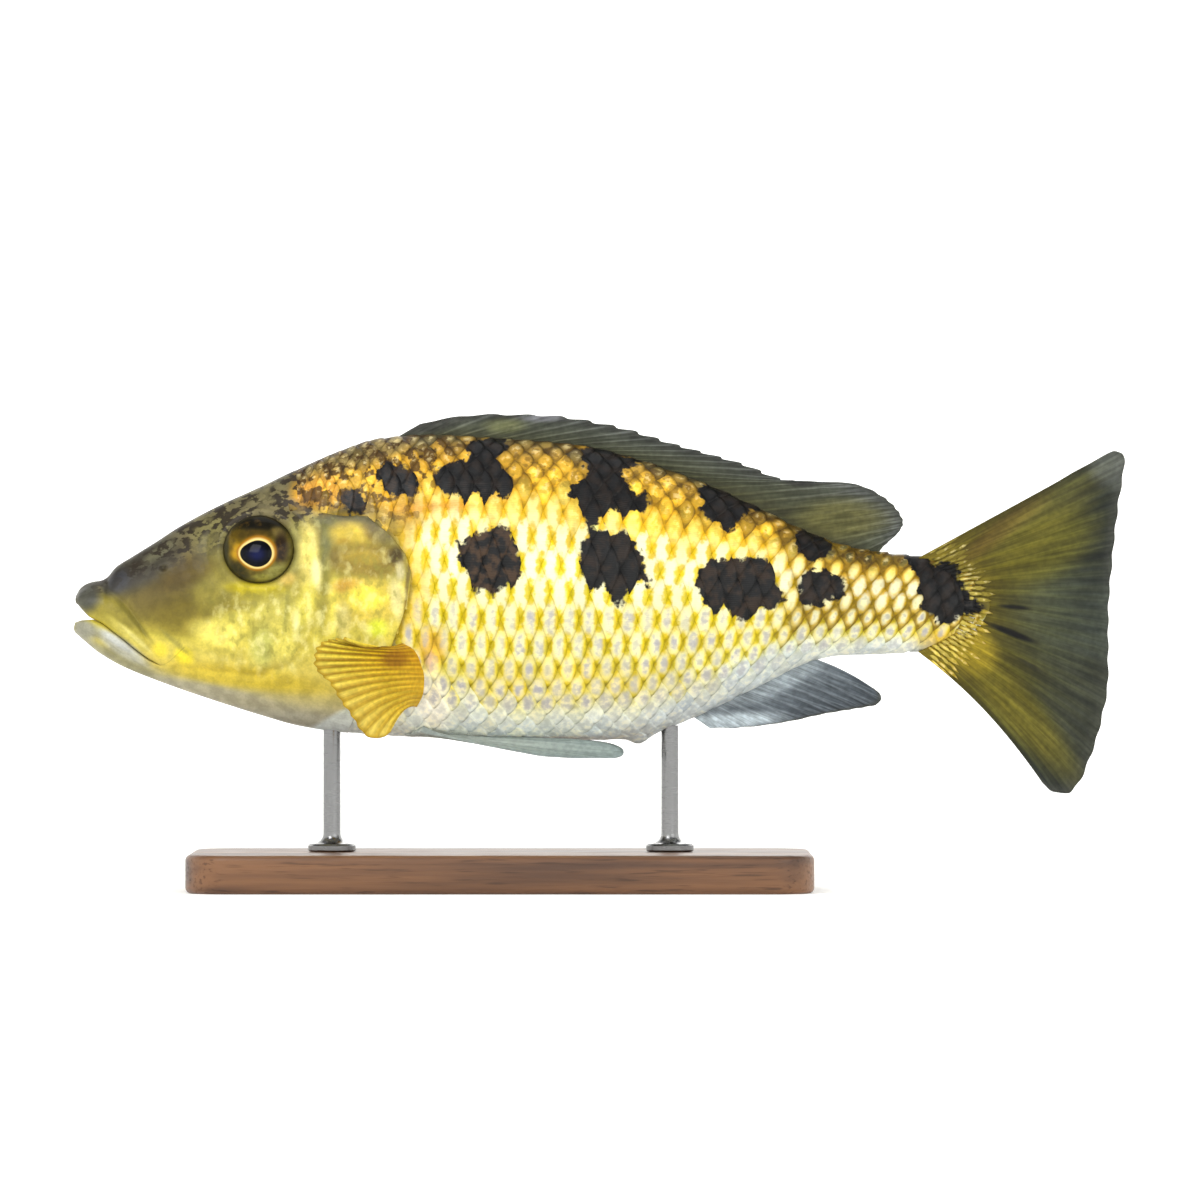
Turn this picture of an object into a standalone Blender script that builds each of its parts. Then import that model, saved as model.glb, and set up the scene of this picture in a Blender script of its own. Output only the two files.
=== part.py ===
"""A rostratus cichlid, life size, swimming level over a plain display stand.

The fish heads along -X with its left side towards -Y, and +Z is up. The origin lies on the
floor under the middle of the fish's total length. Sizes below are in millimetres and are
turned to metres as each mesh is made.
"""

import math

import bmesh
import bpy
import numpy as np
from mathutils import Euler, Vector

MM = 0.001
GAP = 0.3  # left between touching pieces
WELD = 0.02  # points closer than this after a cut become one
CUTTER_HALF_DEPTH = 60.0
TINY = 1e-6

# The fish in side view: the back and the belly without fins, as (x, height).
SNOUT_TIP = (-109.9, 57.2)
FIRST_RING = -109.2
STALK_END = (82.0, 59.6)
LAST_RING = 81.0
BACK = [(-109.2, 61.2), (-108.4, 62.5), (-106.6, 63.9), (-104.0, 64.6), (-102.9, 65.4),
        (-101.1, 67.5), (-97.8, 69.6), (-92.8, 72.7), (-87.7, 76.0), (-79.4, 80.4),
        (-71.0, 84.2), (-62.7, 88.2), (-54.3, 91.9), (-46.0, 94.6), (-36.0, 95.4),
        (-21.0, 94.6), (-5.0, 93.3), (10.4, 89.4), (21.0, 85.5), (31.3, 81.0),
        (41.8, 75.8), (50.0, 72.6), (57.2, 71.0), (64.0, 70.4), (72.0, 69.2),
        (78.0, 66.4), (81.0, 62.4)]
BELLY = [(-109.2, 53.4), (-107.6, 52.0), (-104.5, 49.5), (-99.4, 46.6), (-92.0, 43.6),
         (-84.4, 40.9), (-71.0, 36.6), (-62.7, 34.3), (-54.3, 33.0), (-40.0, 31.9),
         (-21.0, 31.2), (0.0, 31.2), (9.0, 32.0), (14.6, 33.8), (21.0, 36.5),
         (31.3, 41.4), (37.6, 44.6), (43.0, 47.2), (50.1, 48.8), (60.0, 49.2),
         (72.0, 50.0), (78.0, 52.8), (81.0, 56.8)]
# Half the body's width seen from above, as (x, half width).
HALF_WIDTH = [(-109.2, 3.4), (-108.4, 4.2), (-106.6, 5.0), (-104.0, 5.6), (-101.0, 6.0),
              (-97.8, 6.6), (-92.8, 7.6), (-87.7, 8.5), (-79.4, 10.0), (-71.0, 11.2),
              (-62.7, 12.3), (-54.3, 13.2), (-42.0, 14.3), (-21.0, 14.8), (0.0, 14.2),
              (10.0, 13.4), (21.0, 12.2), (31.0, 10.8), (42.0, 9.0), (50.0, 7.6),
              (57.0, 6.4), (64.0, 5.3), (72.0, 4.0), (78.0, 2.8), (81.0, 1.6)]
# How far up the section its widest point lies, and how square the section is above and
# below that point, where 2 is an ellipse.
WAIST = [(-109.0, 0.50), (-98.0, 0.45), (-71.0, 0.42), (-54.0, 0.43), (-21.0, 0.47),
         (21.0, 0.50), (81.0, 0.50)]
UPPER_ROUND = [(-109.0, 2.3), (-90.0, 2.0), (-71.0, 2.2), (-54.0, 2.0), (-21.0, 1.9),
               (81.0, 2.0)]
LOWER_ROUND = [(-109.0, 2.3), (-90.0, 1.8), (-71.0, 1.7), (-54.0, 1.9), (-38.0, 2.3),
               (0.0, 2.3), (21.0, 1.9), (45.0, 1.8), (81.0, 2.0)]
RELIEF_START = 0.6  # share of the half width by which relief is at its full height
RING_POINTS = 36

# The mouth in side view: the line where the lips meet, and the crease above the upper lip.
MOUTH_LINE = [(-106.3, 56.9), (-103.8, 55.7), (-101.7, 54.1), (-99.2, 52.2),
              (-96.4, 49.9), (-94.2, 48.3), (-91.7, 47.0)]
LIP_CREASE = [(-109.2, 62.0), (-106.0, 64.2), (-103.2, 64.6), (-102.8, 62.7),
              (-100.7, 61.2), (-99.0, 59.8), (-96.5, 56.4), (-94.0, 52.2), (-91.7, 48.2)]
LIP_SWELL, LOWER_LIP_SHARE = 1.2, 0.8
LOWER_LIP_HEIGHTS = [(-109.0, 3.4), (-91.7, 1.4)]
LEAST_LIP = 0.5
LIP_END, LIP_FADE = -90.2, 6.0
# The gape at the front of the snout, and the line from the mouth's corner down to the chin.
GAPE = [(-112.0, 60.6), (-108.9, 59.3), (-107.0, 58.0), (-105.9, 56.9), (-106.4, 56.5),
        (-108.0, 56.5), (-109.2, 56.1), (-109.9, 55.3), (-112.0, 53.4)]
JAW_JOINT = [(-91.7, 47.0), (-90.3, 44.6), (-89.6, 41.0), (-89.6, 36.0)]

EYE_CENTRE = (-70.8, 8.4, 71.0)
EYE_RADII = (7.8, 4.2, 7.4)
EYE_TURN = (12.0, 0.0, 7.0)  # degrees that the left eye leans in at the top and looks ahead
ORBIT_RIM = (0.5, 8.4, 1.3)  # height, radius and width of the raised rim
NOSTRIL = (-91.0, 67.2)
NOSTRIL_RADIUS, NOSTRIL_RAISE = 0.9, 0.3

# Where the head parts from the trunk: down the nape, round the gill cover, to the isthmus.
HEAD_CUT = [(-50.0, 104.0), (-51.8, 94.0), (-51.2, 84.0), (-47.6, 77.7), (-43.5, 74.2),
            (-40.3, 69.8), (-39.1, 65.8), (-39.5, 62.0), (-40.9, 57.0), (-43.2, 51.2),
            (-46.4, 44.9), (-49.7, 38.7), (-52.6, 32.0), (-55.0, 26.0)]
STALK_CUT = [(59.5, 80.0), (60.5, 60.0), (59.5, 40.0)]
# The gill cover's outline, left open behind, where the head's own cut bounds it.
GILL_COVER = [(-36.0, 78.6), (-48.0, 78.6), (-53.0, 77.4), (-56.6, 74.6), (-57.4, 69.0),
              (-57.9, 60.6), (-59.2, 52.2), (-59.6, 46.0), (-57.5, 41.5), (-53.0, 38.4),
              (-36.0, 38.4)]
COVER_THICKNESS = 2.2
RECESS_GAP = 0.42
COVER_REACH = (-68.0, -28.0)
COVER_RISE = 0.6  # how proud the cover's rear edge stands
COVER_FRONT, COVER_TOP, COVER_TOP_FADE = -58.0, 79.0, 3.0
PREOPERCLE = [(-57.4, 75.0), (-57.6, 68.0), (-58.2, 60.0), (-60.2, 52.0), (-64.5, 46.5),
              (-71.0, 44.6), (-79.0, 46.0)]
GROOVE_DEPTH, GROOVE_WIDTH = 0.35, 1.2

# Vent papilla, behind the pelvic fins.
PAPILLA_CENTRE = (8.2, 0.0, 32.6)
PAPILLA_RADII = (2.8, 1.7, 2.2)

# Fins: each has a line along its root and a line along its tips, as (x, height) or
# (x, y, height) for the paired fins of the left side, whose mirror images are the right.
FIN_ROOT_SINK = 1.6
MEMBRANE_HALF = 0.25
RAY_HALF = 0.45
RAY_TAPER = 0.4  # share of its thickness that a ray loses on its way to the tip
ROOT_FADE = 7.0  # how quickly a fin thins from its root
MEDIAN_ROOT_HALF, CAUDAL_ROOT_HALF, PAIRED_ROOT_HALF = 0.9, 1.6, 0.8

DORSAL_RAYS = 28
DORSAL_ROOT = [(-43.6, 95.2), (-36.0, 95.4), (-21.0, 94.6), (-5.0, 93.3), (10.4, 89.4),
               (21.0, 85.5), (31.3, 81.0), (41.8, 75.8), (50.0, 72.6), (57.4, 71.0)]
DORSAL_TIPS = [(-37.6, 97.4), (-31.3, 98.8), (-23.0, 99.5), (-11.5, 99.3),
               (2.5, 97.2), (16.9, 92.9), (30.0, 89.1), (40.9, 85.4), (50.8, 85.3),
               (58.5, 82.8), (61.8, 80.0), (63.2, 77.3), (61.6, 74.5)]
ANAL_RAYS = 12
ANAL_ROOT = [(18.6, 35.2), (21.0, 36.5), (31.3, 41.4), (37.6, 44.6), (43.2, 47.3)]
ANAL_TIPS = [(23.0, 33.8), (28.0, 33.8), (33.4, 34.3), (39.5, 35.2), (47.0, 36.8),
             (54.3, 38.2), (58.1, 39.0), (58.8, 40.2), (57.6, 42.0)]
CAUDAL_RAYS = 16
CAUDAL_ROOT = [(66.5, 69.4), (74.0, 65.0), (76.0, 59.6), (74.0, 54.0), (66.5, 49.8)]
CAUDAL_TIPS = [(107.4, 91.8), (109.8, 90.4), (108.2, 80.6), (107.2, 70.0), (106.3, 57.0),
               (106.3, 44.5), (104.6, 34.3), (101.4, 24.8), (98.4, 20.1), (95.0, 20.5)]
CAUDAL_BOW = 2.4  # how far the lowest ray curves up from a straight line

PECTORAL_RAYS = 13
PECTORAL_ROOT = [(-38.9, 51.6), (-37.6, 48.2), (-36.9, 44.6), (-37.0, 41.0)]
PECTORAL_TIPS = [(-52.4, 53.4), (-56.9, 52.5), (-59.4, 49.8), (-59.6, 46.9), (-56.9, 43.4),
                 (-53.9, 38.9), (-50.6, 33.6), (-46.9, 31.5), (-43.4, 33.2)]
PECTORAL_REACH = [(0.0, 21.5), (0.3, 25.0), (0.7, 19.0), (1.0, 12.5)]  # out from the root
PECTORAL_TURN = (0.30, 0.72, 0.42)  # where each ray's curve is pulled to, forward, out and along
PECTORAL_DIP = 5.0  # how far the uppermost ray sags

PELVIC_RAYS = 6
PELVIC_ROOT = [(-38.0, -7.0, 33.0), (-39.6, -4.6, 32.1), (-41.0, -2.2, 31.8)]
PELVIC_TIPS = [(-12.0, -9.6, 27.8), (5.1, -7.0, 28.5), (1.0, -4.9, 28.8),
               (-6.0, -2.6, 29.4), (-14.0, -1.2, 29.8)]
PELVIC_DROP = 1.4
PELVIC_SINK = 1.2

# The stand.
BASE_LENGTH, BASE_WIDTH, BASE_HEIGHT = 130.0, 62.0, 8.0
BASE_CORNER, BASE_CHAMFER = 9.0, 1.2
ROD_PLACES = {"front": -56.0, "rear": 14.6}
ROD_RADIUS = 1.8
ROD_REACH = 4.0  # how far a rod would run into the body before its top is cut to the belly
FOOT_RADIUS, FOOT_HEIGHT, FOOT_FILLET = 5.0, 1.6, 1.2
ROD_SIDES = 20

COLOURS = {  # linear red, green and blue, then roughness and metallic
    "head": ((0.42, 0.36, 0.10), 0.40, 0.0),
    "jaw": ((0.62, 0.58, 0.34), 0.40, 0.0),
    "gill_cover": ((0.70, 0.56, 0.10), 0.35, 0.0),
    "trunk": ((0.78, 0.62, 0.20), 0.35, 0.0),
    "tail_stalk": ((0.74, 0.56, 0.12), 0.35, 0.0),
    "eye": ((0.10, 0.08, 0.03), 0.15, 0.0),
    "median_fin": ((0.19, 0.20, 0.10), 0.45, 0.0),
    "tail_fin": ((0.26, 0.25, 0.07), 0.45, 0.0),
    "pectoral_fin": ((0.66, 0.42, 0.04), 0.45, 0.0),
    "pelvic_fin": ((0.62, 0.66, 0.64), 0.45, 0.0),
    "stand_wood": ((0.07, 0.035, 0.02), 0.35, 0.0),
    "stand_metal": ((0.55, 0.53, 0.50), 0.30, 1.0),
}


def smooth_line(points, where):
    """Heights at the places in where, on a curve that keeps to the points with no overshoot."""
    x, z = np.array(points, float).T
    where = np.clip(np.asarray(where, float), x[0], x[-1])
    step = np.diff(x)
    slope = np.diff(z) / step
    tangent = np.zeros(len(x))
    rising = slope[:-1] * slope[1:] > 0
    weight = 3 * (step[:-1] + step[1:])
    safe = np.where(slope == 0, TINY, slope)
    harmonic = weight / ((step[:-1] + 2 * step[1:]) / safe[1:] + (2 * step[:-1] + step[1:]) / safe[:-1])
    tangent[1:-1][rising] = harmonic[rising]
    tangent[0], tangent[-1] = slope[0], slope[-1]
    i = np.clip(np.searchsorted(x, where) - 1, 0, len(step) - 1)
    t = (where - x[i]) / step[i]
    return (z[i] * (1 + 2 * t) * (1 - t) ** 2 + z[i + 1] * t * t * (3 - 2 * t)
            + step[i] * t * (1 - t) * (tangent[i] * (1 - t) - tangent[i + 1] * t))


def along(points, share):
    """Points at the given shares of the length of a smooth line through the points."""
    points = np.array(points, float)
    chord = np.r_[0, np.cumsum(np.linalg.norm(np.diff(points, axis=0), axis=1))]
    wanted = np.asarray(share, float) * chord[-1]
    return np.stack([smooth_line(np.stack([chord, column], 1), wanted) for column in points.T], -1)


def smooth_step(t):
    t = np.clip(t, 0, 1)
    return t * t * (3 - 2 * t)


def distance_to_line(x, z, line):
    """The distance in side view from points to a line of straight pieces."""
    line = np.array(line, float)
    best = np.full(np.shape(x), np.inf)
    for (ax, az), (bx, bz) in zip(line[:-1], line[1:]):
        dx, dz = bx - ax, bz - az
        t = np.clip(((x - ax) * dx + (z - az) * dz) / (dx * dx + dz * dz), 0, 1)
        best = np.minimum(best, np.hypot(x - ax - t * dx, z - az - t * dz))
    return best


def lip_relief(x, z):
    """The swell of both lips, which dies away at the mouth's corner."""
    mouth = smooth_line(MOUTH_LINE, x)
    upper_height = np.maximum(smooth_line(LIP_CREASE, x) - mouth, LEAST_LIP)
    upper = np.sin(math.pi * np.clip((z - mouth) / upper_height, 0, 1))
    lower = np.sin(math.pi * np.clip((mouth - z) / smooth_line(LOWER_LIP_HEIGHTS, x), 0, 1))
    fade = smooth_step((LIP_END - x) / LIP_FADE)
    return LIP_SWELL * fade * (upper + LOWER_LIP_SHARE * lower)


def relief(x, z):
    """How far the skin stands out from the plain body, in side view."""
    from_eye = np.hypot((x - EYE_CENTRE[0]) * EYE_RADII[2] / EYE_RADII[0], z - EYE_CENTRE[2])
    rim_height, rim_radius, rim_width = ORBIT_RIM
    rim = rim_height * np.exp(-((from_eye - rim_radius) / rim_width) ** 2)
    groove = -GROOVE_DEPTH * np.exp(-(distance_to_line(x, z, PREOPERCLE) / GROOVE_WIDTH) ** 2)
    edge = np.interp(z, *np.array(HEAD_CUT[::-1]).T[::-1])
    slope = smooth_step((x - COVER_FRONT) / np.maximum(edge - COVER_FRONT, LEAST_LIP))
    rise = np.where(x < edge, COVER_RISE * slope * smooth_step((COVER_TOP - z) / COVER_TOP_FADE), 0)
    return lip_relief(x, z) + rim + groove + rise


def section(x, angle, grow=0.0):
    """Points of the body's skin at x and at an angle from the back, round by the left side."""
    top, bottom = smooth_line(BACK, x), smooth_line(BELLY, x)
    waist = bottom + (top - bottom) * smooth_line(WAIST, x)
    cosine, sine = np.cos(angle), np.sin(angle)
    upper = cosine >= 0
    power = 2 / np.where(upper, smooth_line(UPPER_ROUND, x), smooth_line(LOWER_ROUND, x))
    reach = np.where(upper, top - waist, bottom - waist)
    z = waist + reach * np.abs(cosine) ** power
    side = np.abs(sine) ** power
    out = smooth_line(HALF_WIDTH, x) * side + relief(x, z) * smooth_step(side / RELIEF_START) + grow * side
    return np.stack([x + 0 * angle, -np.sign(sine) * out, z + grow * np.sign(cosine) * np.abs(cosine)], -1)


def side_of_body(x, z):
    """Half the body's width at a place in side view."""
    top, bottom = smooth_line(BACK, x), smooth_line(BELLY, x)
    waist = bottom + (top - bottom) * smooth_line(WAIST, x)
    upper = z >= waist
    power = np.where(upper, smooth_line(UPPER_ROUND, x), smooth_line(LOWER_ROUND, x))
    share = np.clip(np.abs(z - waist) / np.where(upper, top - waist, waist - bottom), 0, 1)
    return smooth_line(HALF_WIDTH, x) * (1 - share ** power) ** (1 / power)


def ring_places():
    """Where the body's rings lie: close together on the head, wider apart behind it."""
    snout = np.linspace(FIRST_RING, -88.0, 16)
    head = np.linspace(-88.0, -38.0, 22)[1:]
    trunk = np.linspace(-38.0, 62.0, 17)[1:]
    stalk = np.linspace(62.0, LAST_RING, 6)[1:]
    return np.concatenate([snout, head, trunk, stalk])


def material(kind):
    made = bpy.data.materials.get(kind)
    if made is None:
        colour, roughness, metallic = COLOURS[kind]
        made = bpy.data.materials.new(kind)
        made.use_nodes = True
        shader = made.node_tree.nodes["Principled BSDF"]
        shader.inputs["Base Color"].default_value = (*colour, 1)
        shader.inputs["Roughness"].default_value = roughness
        shader.inputs["Metallic"].default_value = metallic
        made.diffuse_color = (*colour, 1)
    return made


def mesh_object(name, points, faces, collection):
    """An object from points in millimetres."""
    mesh = bpy.data.meshes.new(name)
    mesh.from_pydata([tuple(p) for p in np.asarray(points, float) * MM], [], faces)
    mesh.validate()
    made = bpy.data.objects.new(name, mesh)
    collection.objects.link(made)
    return made


def loft(name, grow, collection, reach=(FIRST_RING, LAST_RING)):
    """The body, or a length of it, as one closed mesh of rings grown by a few tenths."""
    places = ring_places()
    places = places[(places >= reach[0]) & (places <= reach[1])]
    angles = np.arange(RING_POINTS) * 2 * math.pi / RING_POINTS
    rings = [section(np.full(RING_POINTS, x), angles, grow) for x in places]
    tip = (places[0] + SNOUT_TIP[0] - FIRST_RING - grow, 0, rings[0][:, 2].mean())
    end = (places[-1] + STALK_END[0] - LAST_RING + grow, 0, rings[-1][:, 2].mean())
    points = np.concatenate([*rings, [tip, end]])
    tip_index, end_index = len(points) - 2, len(points) - 1
    faces = []
    for i in range(RING_POINTS):
        j = (i + 1) % RING_POINTS
        faces.append((tip_index, j, i))
        for ring in range(len(places) - 1):
            a, b = ring * RING_POINTS, (ring + 1) * RING_POINTS
            if i < RING_POINTS // 2:
                faces += [(a + i, a + j, b + j), (a + i, b + j, b + i)]
            else:
                faces += [(a + i, a + j, b + i), (a + j, b + j, b + i)]
        last = (len(places) - 1) * RING_POINTS
        faces.append((last + i, last + j, end_index))
    made = mesh_object(name, points, faces, collection)
    face_outwards(made)
    return made


def face_outwards(obj):
    shape = bmesh.new()
    shape.from_mesh(obj.data)
    bmesh.ops.recalc_face_normals(shape, faces=shape.faces)
    shape.to_mesh(obj.data)
    shape.free()


def as_mesh(obj):
    """The object with its modifiers applied, and a curve turned to a welded mesh."""
    graph = bpy.context.evaluated_depsgraph_get()
    mesh = bpy.data.meshes.new_from_object(obj.evaluated_get(graph))
    shape = bmesh.new()
    shape.from_mesh(mesh)
    bmesh.ops.remove_doubles(shape, verts=shape.verts, dist=WELD * MM)
    bmesh.ops.recalc_face_normals(shape, faces=shape.faces)
    shape.to_mesh(mesh)
    shape.free()
    made = bpy.data.objects.new(obj.name + "_mesh", mesh)
    made.matrix_world = obj.matrix_world
    for collection in obj.users_collection:
        collection.objects.link(made)
    name = obj.name
    bpy.data.objects.remove(obj)
    made.name = name
    return made


def prism(name, outline, collection):
    """A flat outline in side view, as a 2D curve extruded through the whole body."""
    curve = bpy.data.curves.new(name, "CURVE")
    curve.dimensions = "2D"
    curve.fill_mode = "BOTH"
    curve.extrude = CUTTER_HALF_DEPTH * MM
    spline = curve.splines.new("POLY")
    spline.points.add(len(outline) - 1)
    for point, (x, z) in zip(spline.points, outline):
        point.co = (x * MM, z * MM, 0, 1)
    spline.use_cyclic_u = True
    made = bpy.data.objects.new(name, curve)
    made.rotation_euler = (math.pi / 2, 0, 0)
    collection.objects.link(made)
    bpy.context.view_layer.update()
    return as_mesh(made)


def ribbon(name, line, width, collection):
    """A thin cutter that follows a line in side view."""
    line = np.array(line, float)
    run = np.gradient(line, axis=0)
    across = np.stack([-run[:, 1], run[:, 0]], 1)
    across *= width / 2 / np.linalg.norm(across, axis=1)[:, None]
    return prism(name, np.concatenate([line + across, (line - across)[::-1]]), collection)


def ellipsoid(name, centre, radii, collection, segments=20, rings=10, turn=(0, 0, 0)):
    """A sphere with its poles facing sideways, scaled, turned by degrees and moved to its centre."""
    shape = bmesh.new()
    bmesh.ops.create_uvsphere(shape, u_segments=segments, v_segments=rings, radius=1)
    rotation = Euler([math.radians(angle) for angle in turn]).to_matrix()
    for vertex in shape.verts:
        x, y, z = vertex.co
        spot = rotation @ Vector((x * radii[0], z * radii[1], -y * radii[2]))
        vertex.co = (spot + Vector(centre)) * MM
    mesh = bpy.data.meshes.new(name)
    shape.to_mesh(mesh)
    shape.free()
    made = bpy.data.objects.new(name, mesh)
    collection.objects.link(made)
    return made


def combine(target, operation, other, solver="EXACT"):
    """Applies one Boolean of target with another object."""
    modifier = target.modifiers.new(operation.lower(), "BOOLEAN")
    modifier.operation = operation
    modifier.object = other
    modifier.solver = solver
    bpy.context.view_layer.update()
    graph = bpy.context.evaluated_depsgraph_get()
    mesh = bpy.data.meshes.new_from_object(target.evaluated_get(graph))
    target.modifiers.clear()
    target.data = mesh
    return target


def islands_of(shape):
    """The connected sets of faces of a bmesh."""
    left, found = set(shape.faces), []
    while left:
        stack, island = [left.pop()], []
        while stack:
            face = stack.pop()
            island.append(face)
            for edge in face.edges:
                for other in edge.link_faces:
                    if other in left:
                        left.discard(other)
                        stack.append(other)
        found.append(island)
    return found


def volume_of(faces):
    total = 0.0
    for face in faces:
        first, *rest = [loop.vert.co for loop in face.loops]
        total += sum(first.dot(a.cross(b)) for a, b in zip(rest[:-1], rest[1:])) / 6
    return abs(total)


def keep(obj, choose=volume_of):
    """Drops all of an object's closed surfaces but the one that choose scores highest."""
    shape = bmesh.new()
    shape.from_mesh(obj.data)
    bmesh.ops.remove_doubles(shape, verts=shape.verts, dist=WELD * MM)
    islands = islands_of(shape)
    best = max(islands, key=choose)
    dropped = [face for island in islands if island is not best for face in island]
    bmesh.ops.delete(shape, geom=dropped, context="FACES")
    loose = [vertex for vertex in shape.verts if not vertex.link_faces]
    bmesh.ops.delete(shape, geom=loose, context="VERTS")
    shape.to_mesh(obj.data)
    shape.free()
    return obj


def copy_of(obj, name, collection):
    made = bpy.data.objects.new(name, obj.data.copy())
    collection.objects.link(made)
    return made


def middle_of(faces):
    total = Vector((0, 0, 0))
    for face in faces:
        total += face.calc_center_median()
    return total / len(faces)


def placed(axis, sign):
    """A score for keep that picks the largest surface on one side of an axis."""
    return lambda faces: volume_of(faces) * (1 if middle_of(faces)[axis] * sign > 0 else 0)


def fin_solid(name, middle, half, collection):
    """A fin from a grid of points on its middle surface and its half thickness at each."""
    columns, rows, _ = middle.shape
    run = np.gradient(middle, axis=1)
    spread = np.gradient(middle, axis=0)
    normal = np.cross(spread, run)
    normal /= np.linalg.norm(normal, axis=2)[:, :, None]
    left, right = middle + normal * half[:, :, None], middle - normal * half[:, :, None]
    points = np.concatenate([left.reshape(-1, 3), right.reshape(-1, 3)])
    other = columns * rows

    def at(column, row):
        return column * rows + row

    faces = []
    for c in range(columns - 1):
        for r in range(rows - 1):
            a, b, d, e = at(c, r), at(c + 1, r), at(c + 1, r + 1), at(c, r + 1)
            faces += [(a, b, d), (a, d, e)]
            faces += [(other + a, other + d, other + b), (other + a, other + e, other + d)]
    rim = [at(c, 0) for c in range(columns)] + [at(columns - 1, r) for r in range(1, rows)]
    rim += [at(c, rows - 1) for c in range(columns - 2, -1, -1)] + [at(0, r) for r in range(rows - 2, 0, -1)]
    for a, b in zip(rim, rim[1:] + rim[:1]):
        faces += [(b, a, other + a), (b, other + a, other + b)]
    made = mesh_object(name, points, faces, collection)
    face_outwards(made)
    return made


def ribbed(rays, rows, root_half):
    """Half a fin's thickness on a grid whose even columns are rays and the others membrane."""
    u = np.linspace(0, 1, rows)
    on_ray = np.arange(2 * rays - 1)[:, None] % 2 == 0
    half = np.where(on_ray, RAY_HALF * (1 - RAY_TAPER * u), MEMBRANE_HALF)
    return half + (root_half - half) * np.exp(-ROOT_FADE * u)


def notched(start, end, notch):
    """Ends of the columns, with the membrane between the rays a little shorter than they are."""
    on_ray = np.arange(len(start))[:, None] % 2 == 0
    return start + (end - start) * np.where(on_ray, 1, 1 - notch)


def flat_fin(name, rays, root, tips, rows, collection, lean, notch, root_half=MEDIAN_ROOT_HALF, bow=0.0):
    """A fin on the fish's middle plane, from its root line to its tip line."""
    half = ribbed(rays, rows, root_half)
    share = np.linspace(0, 1, 2 * rays - 1)
    start = along(root, share)
    end = notched(start, along(tips, share ** lean), notch)
    u = np.linspace(0, 1, rows)[None, :, None]
    flat = start[:, None] + (end - start)[:, None] * u
    flat[..., 1] += bow * share[:, None] ** 4 * 4 * u[..., 0] * (1 - u[..., 0])
    middle = np.stack([flat[..., 0], 0 * flat[..., 0], flat[..., 1]], -1)
    return fin_solid(name, middle, half, collection)


def sunk(line, rise):
    """A root line moved up or down into the body."""
    return [(x, z + rise) for x, z in line]


def pectoral_fin(name, collection):
    """The left pectoral fin, held out from the body and swept forward as a fan."""
    rows = 8
    half = ribbed(PECTORAL_RAYS, rows, PAIRED_ROOT_HALF)
    share = np.linspace(0, 1, 2 * PECTORAL_RAYS - 1)
    root, tips = along(PECTORAL_ROOT, share), along(PECTORAL_TIPS, share)
    reach = smooth_line(PECTORAL_REACH, share)
    flank = side_of_body(root[:, 0], root[:, 1])
    start = np.stack([root[:, 0], -flank + FIN_ROOT_SINK, root[:, 1]], 1)
    end = notched(start, np.stack([tips[:, 0], -flank - reach, tips[:, 1]], 1), 0.03)
    turn = start + (end - start) * np.array(PECTORAL_TURN)
    turn[:, 2] -= PECTORAL_DIP * (1 - share) ** 3
    u = np.linspace(0, 1, rows)[None, :, None]
    middle = (1 - u) ** 2 * start[:, None] + 2 * u * (1 - u) * turn[:, None] + u * u * end[:, None]
    return fin_solid(name, middle, half, collection)


def pelvic_fin(name, collection):
    """The left pelvic fin, folded back under the belly."""
    rows = 7
    half = ribbed(PELVIC_RAYS, rows, PAIRED_ROOT_HALF)
    share = np.linspace(0, 1, 2 * PELVIC_RAYS - 1)
    start = along(PELVIC_ROOT, share) + np.array([0, 0, PELVIC_SINK])
    end = notched(start, along(PELVIC_TIPS, share), 0.04)
    u = np.linspace(0, 1, rows)[None, :, None]
    middle = start[:, None] + (end - start)[:, None] * u
    middle[..., 2] -= PELVIC_DROP * np.sin(math.pi * u[..., 0] ** 0.6)
    return fin_solid(name, middle, half, collection)


def mirrored(obj, name, collection):
    """The same piece on the fish's other side."""
    made = copy_of(obj, name, collection)
    for vertex in made.data.vertices:
        vertex.co.y = -vertex.co.y
    made.data.flip_normals()
    return made


def rounded_rectangle(length, width, corner, steps=6):
    outline = []
    for quarter, (sx, sy) in enumerate([(1, 1), (-1, 1), (-1, -1), (1, -1)]):
        for step in range(steps + 1):
            turn = (quarter + step / steps) * math.pi / 2
            outline.append((sx * (length / 2 - corner) + corner * math.cos(turn),
                            sy * (width / 2 - corner) + corner * math.sin(turn)))
    return outline


def stand_base(collection):
    """The flat wooden base, with a chamfer round its upper and lower edges."""
    outline = rounded_rectangle(BASE_LENGTH, BASE_WIDTH, BASE_CORNER)
    shape = bmesh.new()
    floor = [shape.verts.new(Vector((x, y, 0)) * MM) for x, y in outline]
    face = shape.faces.new(floor)
    bmesh.ops.extrude_face_region(shape, geom=[face])
    upper = [vertex for vertex in shape.verts if vertex not in floor]
    bmesh.ops.translate(shape, verts=upper, vec=(0, 0, BASE_HEIGHT * MM))
    bmesh.ops.recalc_face_normals(shape, faces=shape.faces)
    mesh = bpy.data.meshes.new("stand_base")
    shape.to_mesh(mesh)
    shape.free()
    made = bpy.data.objects.new("stand_base", mesh)
    made.location.x = sum(ROD_PLACES.values()) / len(ROD_PLACES) * MM
    collection.objects.link(made)
    bevel = made.modifiers.new("chamfer", "BEVEL")
    bevel.width = BASE_CHAMFER * MM
    bevel.segments = 1
    bevel.limit_method = "ANGLE"
    bevel.angle_limit = math.radians(60)
    return made


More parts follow.
